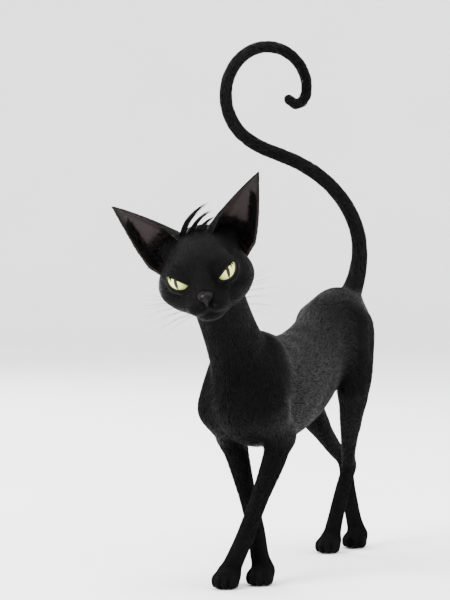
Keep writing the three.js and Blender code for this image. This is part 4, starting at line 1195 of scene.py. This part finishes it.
# %% Finish of the ears
def ear_material():
    """Dark hide outside; inside, bare skin: dusky, a little rosy towards the foot, with fine veins."""
    made, tree, shader = new_material("ear_skin", Roughness=0.55, Specular_IOR_Level=0.35,
                                      Subsurface_Weight=0.05)
    rosy = ramp(tree, attribute(tree, "height"), [
        (0.0, (0.026, 0.016, 0.015)), (0.55, (0.016, 0.0115, 0.011)), (1, (0.006, 0.0055, 0.0055)),
    ])
    vein = noise(tree, own_place(tree), 160.0, 5.0, Distortion=1.5)
    veins = ramp(tree, vein, [(0.42, 1.0), (0.5, 0.62), (0.58, 1.0)])
    sides = {"Fac": attribute(tree, "inner"), "Color1": (0.006, 0.006, 0.006, 1),
             "Color2": multiplied(tree, rosy, veins, 0.6)}
    tree.links.new(add_node(tree, "MixRGB", sides), shader.inputs["Base Color"])
    add_bump(tree, shader, vein, 0.35, 0.0004)
    return made


ear_skin = ear_material()
for side, word in SIDES:
    add_ear(side, f"ear_skin_{word}", ear_skin)


# %% Fur on the ears
def turned(vectors):
    """Directions in the head's frame, turned to the cat's."""
    return vectors @ head_turn.T


def ear_tufts(side, where, word):
    """Tufts on one ear. where gives, for each tuft: height, turn, inset, length, lift, lean (a share of the
    way from straight up to across towards the opening) and width."""
    height, turn, inset, length, lift, lean, width = where
    step = 0.01
    root = ear_point(height, turn, inset)
    up = unit(ear_point(height + step, turn, inset) - root)
    over = unit(ear_point(height, turn + step, inset) - root)
    out = unit(np.cross(over, up))
    middle = np.array(EAR["root"]) + (height * EAR["height"])[:, None] * ear_axis
    out *= np.sign((out * (root - middle)).sum(1))[:, None]
    out = np.where((inset > 1)[:, None], -out, out)
    way = unit(up * (1 - np.abs(lean))[:, None] + over * lean[:, None])
    line = [root - 0.2 * out]
    for share in (0.4, 1.0):
        line.append(root + way * (length * share)[:, None] + out * (lift * share)[:, None])
    line = mirrored(np.stack(line, 1), side)
    way, out = mirrored(way, side), mirrored(out, side)
    spots = np.stack([turn / 2 + 0.5, np.clip((height - EAR_FOOT) / (1 - EAR_FOOT), 0, 1)], 1)
    return add_tufts(
        f"coat_ear_{word}", out_of_head(line), turned(np.cross(out, way))[:, None], turned(out)[:, None],
        width[:, None], random.random(len(root)), spots, fur)


def ear_coat():
    """Roots for the back of the ear, its two rims, the long hairs that cross the opening, and its foot."""
    def draw(low, high):
        return low + (high - low) * random.random(count)

    count = 8600
    top = 1 - np.sqrt(draw(0, 1))
    back = (np.clip(-0.25 + 1.23 * top, -0.25, 0.965), draw(-1, 1), EAR_COAT, 4.6 - 2.4 * top,
            draw(0.2, 0.7), draw(-0.25, 0.25), 0.58)
    rows = [np.broadcast_arrays(*back)]
    count = 1200
    rim = (draw(-0.05, 0.96), np.sign(draw(-1, 1)) * draw(0.96, 1), 0.7, draw(1.6, 3.0),
           draw(0, 0.6), draw(-0.3, 0.3), 0.5)
    rows.append(np.broadcast_arrays(*rim))
    count = 420
    crossing = (draw(-0.02, 0.62), draw(-0.99, -0.72), 2.2, draw(7, 15),
                draw(1.0, 4.0), draw(0.35, 0.75), 0.42)
    rows.append(np.broadcast_arrays(*crossing))
    count = 900
    foot = (draw(-0.12, 0.16), draw(-0.95, 0.95), 2.4, draw(4, 10),
            draw(1.0, 4.0), draw(-0.4, 0.4), 0.6)
    rows.append(np.broadcast_arrays(*foot))
    return [np.concatenate(column) for column in zip(*rows)]


for side, word in SIDES:
    coat.append(ear_tufts(side, ear_coat(), word))
print("ear tufts:", sum(len(piece.data.polygons) // 6 for piece in coat[-2:]))

# %% [markdown]
# ## Eyes
#
# The eyeball is a ball with a clearer, steeper bulge in front, the cornea. The iris is pale yellow-green,
# with fine spokes, darker at its rim, and the pupil is an upright slit. Colours are painted by the distance
# and the direction from the eye's pole, which a map of its own carries, and a clear wet coat lies over all.

# %% Eyeballs
CORNEA = dict(edge=46, bulge=0.75)  # half its arc in degrees, and how far it stands out of the ball
EYE_GAP = 0.05  # mm between the eyeball and its socket


def add_eye(side, word, material):
    """Rings around the pole where the eye looks: radius = ball + bulge * (1 - (angle / edge)^2)^2. Each pole
    is closed by triangles."""
    rings, around = 40, 48
    ball = EYE["radius"] - EYE_GAP
    angle = np.radians(np.linspace(0, 180, rings + 1))[1:-1, None]
    turn = np.linspace(0, 2 * np.pi, around, endpoint=False)[None, :]
    rise = np.maximum(1 - (np.degrees(angle) / CORNEA["edge"]) ** 2, 0) ** 2 * CORNEA["bulge"]
    look = eye_axes(side)[2]
    up = unit(np.array([0, 0, 1]) - look[2] * look)
    chart = np.stack([np.sin(angle) * np.cos(turn), np.sin(angle) * np.sin(turn)], -1)
    way = chart[..., :1] * np.cross(up, look) + chart[..., 1:] * up + np.cos(angle)[..., None] * look
    poles = np.array([look * (ball + CORNEA["bulge"]), -look * ball])
    points = np.concatenate([((ball + rise)[..., None] * way).reshape(-1, 3), poles])
    i = np.arange(around)
    after = (i + 1) % around
    first, last = (rings - 1) * around, (rings - 2) * around
    faces = [*grid_faces(rings - 1, around, closed=True)[:, ::-1].tolist(),
             *np.stack([0 * i + first, i, after], -1).tolist(),
             *np.stack([0 * i + first + 1, last + after, last + i], -1).tolist()]
    made = bpy.data.objects.new(f"eyeball_{word}", bpy.data.meshes.new(f"eyeball_{word}"))
    bpy.context.scene.collection.objects.link(made)
    points = to_frame(out_of_head(points + mirrored(EYE["middle"], side)))
    made.data.from_pydata(points.tolist(), [], faces)
    made.data.shade_smooth()
    add_uv(made, "iris_chart", np.concatenate([chart.reshape(-1, 2), [[0, 0], [0, 0]]]) * 0.5 + 0.5)
    dress(made, material)
    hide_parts(f"eye_{word}")


# %% Finish of the eyes
def eye_material():
    """Iris, slit pupil and dark rim under a clear coat, all from the place on the eye's own chart."""
    made, tree, shader = new_material("wet_iris", Roughness=0.4, Coat_Weight=0.7, Coat_Roughness=0.015,
                                      Specular_IOR_Level=0.1)
    chart = add_node(tree, "UVMap", uv_map="iris_chart")
    centred = add_node(tree, "VectorMath", {0: chart, 1: (2.0, 2.0, 0.0), 2: (-1.0, -1.0, 0.0)},
                       operation="MULTIPLY_ADD")
    reach = add_node(tree, "VectorMath", {0: centred}, "Value", operation="LENGTH")
    rings = ramp(tree, reach, [
        (0.0, (0.70, 0.66, 0.14)), (0.22, (0.78, 0.76, 0.22)), (0.5, (0.66, 0.72, 0.26)),
        (0.80, (0.42, 0.50, 0.16)), (0.90, (0.05, 0.05, 0.02)), (0.96, (0.03, 0.025, 0.02)),
    ])
    spoke = add_node(tree, "VectorMath", {0: centred}, operation="NORMALIZE")
    fine = add_node(tree, "VectorMath", {0: spoke, 1: (9.0, 9.0, 9.0), 2: centred}, operation="MULTIPLY_ADD")
    fibres = ramp(tree, noise(tree, fine, 2.2, 4.0), [(0.35, 0.72), (0.65, 1.12)])
    iris = multiplied(tree, rings, fibres, 0.85)
    # The slit: |across| < width * (1 - (up / height)^2).
    width, height, soft = 0.13, 0.66, 0.012
    across = add_node(tree, "SeparateXYZ", {"Vector": centred}, "X")
    up = add_node(tree, "SeparateXYZ", {"Vector": centred}, "Y")
    share = maths(tree, "MULTIPLY", up, 1 / height)
    edge = maths(tree, "MULTIPLY_ADD", maths(tree, "MULTIPLY", share, share), -width, width)
    inside = maths(tree, "SUBTRACT", edge, maths(tree, "ABSOLUTE", across))
    slit = add_node(tree, "MapRange", {"Value": inside, "From Min": -soft, "From Max": soft})
    painted = {"Fac": slit, "Color1": iris, "Color2": (0.002, 0.002, 0.002, 1)}
    tree.links.new(add_node(tree, "MixRGB", painted), shader.inputs["Base Color"])
    return made


wet_iris = eye_material()
for side, word in SIDES:
    add_eye(side, word, wet_iris)
print("eyeballs of", 2 * (EYE["radius"] - EYE_GAP), "mm")


# %% Tubes
def tube(path, radius, sides=10):
    """Points and quads of a closed tube along a path. radius is one number or one for each point. The frame
    is carried along by taking the part of the last side vector that is square to the path."""
    path = np.asarray(path, float)
    ahead = unit(np.gradient(path, axis=0))
    side = np.cross(ahead[0], [0.3, 0.5, 0.8])
    sides_along = []
    for way in ahead:
        side = unit(side - (side @ way) * way)
        sides_along.append(side)
    right = np.array(sides_along)
    up = np.cross(ahead, right)
    turn = np.linspace(0, 2 * np.pi, sides, endpoint=False)
    out = np.cos(turn)[None, :, None] * right[:, None] + np.sin(turn)[None, :, None] * up[:, None]
    radius = np.broadcast_to(np.asarray(radius, float), len(path))
    ring = path[:, None] + radius[:, None, None] * out
    ends = np.stack([path[0], path[-1]])[:, None].repeat(sides, 1)
    ring = np.concatenate([ends[:1], ring, ends[1:]])
    return ring.reshape(-1, 3), grid_faces(len(path) + 2, sides, closed=True)


def add_parts(name, parts, material):
    """Point-and-face pairs, in the cat's millimetres, as one piece. Points that lie on one another are drawn
    together, so that the tubes' ends are closed."""
    starts = np.cumsum([0] + [len(points) for points, _ in parts])
    faces = np.concatenate([faces + start for (_, faces), start in zip(parts, starts)])
    made = add_mesh(name, to_frame(np.concatenate([points for points, _ in parts])), faces)
    work = bmesh.new()
    work.from_mesh(made.data)
    bmesh.ops.remove_doubles(work, verts=work.verts, dist=1e-6)
    bmesh.ops.dissolve_degenerate(work, dist=1e-7, edges=work.edges)
    bmesh.ops.recalc_face_normals(work, faces=work.faces)
    work.to_mesh(made.data)
    work.free()
    return dress(made, material)


# %% Lid rims
RIM = dict(lift=0.42, radius=0.62)  # mm over the ball of the eye, and half the rim's thickness


def lid_rim(side):
    """A tube around the almond, on a ball a little larger than the eye: towards = sqrt(R^2 - along^2 -
    across^2)."""
    edge = np.concatenate([upper_edge[:-1], lower_edge[::-1][:-1]])
    reach = EYE["radius"] + RIM["lift"]
    towards = np.sqrt(np.maximum(reach**2 - (edge**2).sum(1), 1.2))
    points = np.column_stack([edge, towards]) @ eye_axes(side) + mirrored(EYE["middle"], side)
    points = np.concatenate([points, points[:2]])
    return tube(out_of_head(points), RIM["radius"], sides=8)


# Moist black skin of the lids' edges and lips.
moist = grained("moist_rim", 1500.0, 3.0, [(0.3, (0.004, 0.0035, 0.0035)), (0.7, (0.012, 0.010, 0.010))],
                0.3, 0.0002, Roughness=0.5, Specular_IOR_Level=0.22, Coat_Weight=0.1, Coat_Roughness=0.2)
add_parts("lid_rims", [lid_rim(1), lid_rim(-1)], moist)

# %% [markdown]
# ## Nose and lips
#
# The nose leather is bare, damp, pebbled skin with two comma-shaped nostrils and a groove that runs down to
# the lip. It is drawn as a field of its own, on a fine grid, because its forms are small.

# %% Nose leather
nostrils = both([3.5, -56, -9.2], [1.9, 2.4, 1.2], 1, 12)


def nose_field(points):
    """The pad and its stem, less the nostrils and the fine groove down the middle."""
    leather = melted(nose_flesh, points)
    holes = melted(nostrils, points)
    groove = np.hypot(points[:, 0] / 0.35, (points[:, 1] + 57.2) / 1.6) * 0.35 - 0.35
    groove = np.where(points[:, 2] < -9.5, groove, FAR)
    return np.maximum(-melt(-leather, holes, 1), -groove)


nose_grid = [stops([-9, 9], [0.42]), stops([-60, -42], [0.42]), stops([-19, -1], [0.42])]
nose_points, nose_quads = surface_net(nose_field, nose_grid)
nose_points = settled(nose_field, nose_points, 0.2)
nose = add_mesh("nose_leather", to_frame(out_of_head(nose_points)), nose_quads)


def nose_material():
    """Black leather with fine pebbles and a damp gloss."""
    made, tree, shader = new_material("nose_leather", Roughness=0.42, Specular_IOR_Level=0.1,
                                      Coat_Weight=0.12, Coat_Roughness=0.12)
    pebble = add_node(tree, "TexVoronoi", {"Vector": own_place(tree), "Scale": 1900.0}, "Distance")
    tint = ramp(tree, pebble, [(0.0, (0.003, 0.0026, 0.0026)), (0.6, (0.007, 0.0062, 0.006))])
    tree.links.new(tint, shader.inputs["Base Color"])
    add_bump(tree, shader, pebble, 0.55, 0.00025, invert=True)
    return made


dress(nose, nose_material())
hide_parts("nose")
print("nose:", len(nose_quads), "quads")

# %% The line of the mouth
LIPS = [[0, -57, -15], [0, -55, -23.5], [8, -50, -26.5], [15, -40, -25], [20, -30, -21]]


def lip_line(side):
    """A thin tube that follows the surface of the face past the named points."""
    path = smooth_rows(mirrored(np.array(LIPS, float), side), 8)
    path = settled(lambda p: melted(head_flesh, p) + 0.7, path, 2.0, turns=6)
    width = 0.75 * np.sin(np.pi * np.linspace(0.12, 0.97, len(path))) ** 0.5
    return tube(out_of_head(path), width, sides=8)


add_parts("lip_line", [lip_line(1), lip_line(-1)], moist)

# %% [markdown]
# ## Long hairs
#
# Whiskers, brow hairs and the three locks on the crown are long enough to be seen one by one. A whisker is a
# thin tapered tube on a bent path. A lock is a bundle of flat blades that start side by side and are drawn
# together to a loose point. Small tufts of the same kind hang over each eye's outer corner.

# %% Whiskers
ROWS, PLACES = range(4), (1, 2, 3)  # rows of whiskers on each pad, and places in a row
BROW_HAIRS = range(4)
# Roots and ways to go: the first, what each place further out adds, and what each row down adds.
WHISKER_ROOT = [[9.5, -49.5, -14.2], [2.4, 4.2, 0], [0, 0, -2.7]]
WHISKER_WAY = [[1.0, -0.28, 0.20], [0, 0.30, 0], [0, 0, -0.14]]
BROW_ROOT = [[12.5, -38.5, 13.5], [2.2, 2.2, 1.2]]
BROW_WAY = [[0.30, -0.42, 0.80], [0.16, 0, 0]]
THICKNESS = dict(whisker=0.19, brow=0.13)  # mm, the radius at the root


def whisker_paths():
    """Rows of whiskers on the pads, brow hairs over the eyes: each a root, a way to go, a droop, a length
    and a radius."""
    found = []
    for row in ROWS:
        for place in PLACES:
            root, way = np.array([1, place, row]) @ WHISKER_ROOT, np.array([1, place, row]) @ WHISKER_WAY
            length = 38 + 6 * place - 3 * abs(row - 1.5)
            found.append((root, unit(way), 0.10 + 0.05 * row, length, THICKNESS["whisker"]))
    for place in BROW_HAIRS:
        root, way = np.array([1, place]) @ BROW_ROOT, np.array([1, place]) @ BROW_WAY
        found.append((root, unit(way), -0.1, 24 - 2 * place, THICKNESS["brow"]))
    return found


def on_face(root, depth, turns=5):
    """The point of the face nearest to root, sunk by depth."""
    return settled(lambda p: melted(head_flesh, p) + depth, np.atleast_2d(root), 3.0, turns)[0]


def whiskers(side):
    """Each path: root + way * run + droop * run^2. The radius shrinks evenly to the tip."""
    stations = 12
    parts = []
    for root, way, droop, length, radius in whisker_paths():
        run = np.linspace(-2.5, length * (0.92 + 0.12 * random.random()), stations)[:, None]
        fall = np.array([0.0, 0.35, -1.0]) * droop * (np.maximum(run, 0) / length) ** 2 * length
        path = mirrored(on_face(root, 0.8) + way * run + fall, side)
        parts.append(tube(out_of_head(path), radius * np.linspace(1, 0.15, stations), sides=5))
    return parts


whisker_set = add_parts("whiskers", whiskers(1) + whiskers(-1), fur)
for name, value in dict(along=0.4, tone=0.5).items():
    add_point_value(whisker_set, name, np.full(len(whisker_set.data.vertices), value))
print("whiskers on each side:", len(ROWS) * len(PLACES), "and brow hairs:", len(BROW_HAIRS))

# %% Locks on the crown
CREST = [
    dict(root=[-12, 2, 30.2], lean=26, bend=64, length=44, width=4.8),
    dict(root=[-4, 1, 31.8], lean=34, bend=54, length=32, width=4.2),
    dict(root=[4, 0, 32.2], lean=42, bend=44, length=22, width=3.6),
]


def lock(root, lean, bend, length, width, strands=60, rings=8, hair=0.4):
    """A bundle of thin blades on one bent path. Each blade starts a little aside, is drawn in to the path on
    its way, and ends at a place of its own in the outer half, so that the lock ends in a loose point."""
    steps = rings + 1
    share = np.linspace(0, 1, steps + 1)
    turn = np.radians(lean + bend * share)
    way = unit(np.stack([np.sin(turn), np.full(steps + 1, 0.18), np.cos(turn)], 1))
    spine = np.array(root, float) + np.concatenate([[[0, 0, 0]], np.cumsum(way[:-1], 0)]) * length / steps
    flat = unit(np.array([0, 1, 0]) - way[:, 1:2] * way)
    across = np.cross(way, flat)
    aside, deep = random.uniform(-0.5, 0.5, (2, strands, 1))
    loose = random.normal(0, 0.24, (2, strands, 1))
    reach = 1 - 0.5 * random.random((strands, 1)) ** 2
    run = share[None] * reach
    draw = np.maximum(1 - run**1.5, 0.0)
    marks = np.arange(steps + 1)
    at = lambda rows: np.stack([np.interp(run * steps, marks, row) for row in rows.T], -1)
    sideways = aside * draw * width + loose[0] * run**2 * width
    depthwise = deep * draw * 2.2 + loose[1] * run**2 * 2.2
    line = at(spine) + sideways[..., None] * at(across) + depthwise[..., None] * at(flat)
    line[:, 0] -= 1.5 * way[0]
    taper = np.sin(np.pi * np.linspace(0.35, 0.97, rings))[None]
    widths = hair * taper * (0.7 + 0.6 * random.random((strands, 1)))
    return line, at(across)[:, 1:-1], at(flat)[:, 1:-1], widths


# %% Tufts over the eyes
LASH = dict(
    strands=11, rings=4, hair=0.5, taper=[1.0, 0.9, 0.75, 0.5],
    first=0.5, step=0.19,  # places along the slit, shares of half its length
    root=2.4, fall=6.4, less=1.3,  # mm over the lid's edge, how far it hangs, and how much less further out
    swing=2.2, inwards=0.8, width=2.4, clear=1.5,
)


def lash(side, place):
    """One pointed tuft of the upper lid, which hangs over the eye's outer corner. It is drawn in the eye's
    own axes, on a ball that clears the eyeball: towards = sqrt(R^2 - along^2 - across^2)."""
    strands, rings = LASH["strands"], LASH["rings"]
    share = np.linspace(0, 1, rings + 2)
    at = long * (LASH["first"] + LASH["step"] * place)
    along = at + LASH["swing"] * (1 - share) ** 2 - LASH["inwards"]
    across = np.interp(at, *upper_edge.T) + LASH["root"] - (LASH["fall"] - LASH["less"] * place) * share
    reach = EYE["radius"] + LASH["clear"]
    towards = np.sqrt(reach**2 - along**2 - np.minimum(across**2, 16))
    spine = np.stack([along, across, towards], 1) @ eye_axes(1) + np.array(EYE["middle"])
    level, _, look = eye_axes(1)
    aside = random.uniform(-0.5, 0.5, strands)[:, None, None] * LASH["width"] * (1 - share)[None, :, None]
    line = mirrored(spine[None] + aside * level, side)
    spread = np.ones((strands, rings, 1))
    widths = np.full((strands, rings), LASH["hair"]) * np.array(LASH["taper"])
    return line, mirrored(spread * level, side), mirrored(spread * look, side), widths


# %% Locks, fringe and lashes as pieces
def add_locks(name, bundles):
    """Bundles of blades of one kind as one piece, turned into the head's pose."""
    lines, across, ups, widths = (np.concatenate(column) for column in zip(*bundles))
    count = len(lines)
    spots = np.stack([np.linspace(0.05, 0.95, count), np.full(count, 0.5)], 1)
    return add_tufts(name, out_of_head(lines), turned(across), turned(ups), widths, random.random(count),
                     spots, fur)


FRINGE = np.linspace(-13, 11, 15)  # mm across the crown, one bundle at each


def fringe():
    """Short loose hair between the locks: small bundles that lean like the locks' own."""
    made = []
    for place in FRINGE:
        lean = 30 + 1.2 * place + random.normal(0, 7)
        root = [place, 1.5 + random.normal(0, 1.6), 31.5 - 0.012 * place**2]
        bend, length = 58 + random.normal(0, 8), 11 + 5 * random.random()
        made.append(lock(root, lean, bend, length, 2.4, strands=9, hair=0.3))
    return made


coat.append(add_locks("crown_locks", [lock(**sizes) for sizes in CREST]))
coat.append(add_locks("crown_fringe", fringe()))
coat.append(add_locks("eye_lashes", [lash(side, place) for side in (1, -1) for place in range(3)]))
print("coat pieces:", len(coat))

# %% Hiding the solids
flesh = sorted(set(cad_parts) - {"eye_left", "eye_right", "nose"})
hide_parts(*flesh)
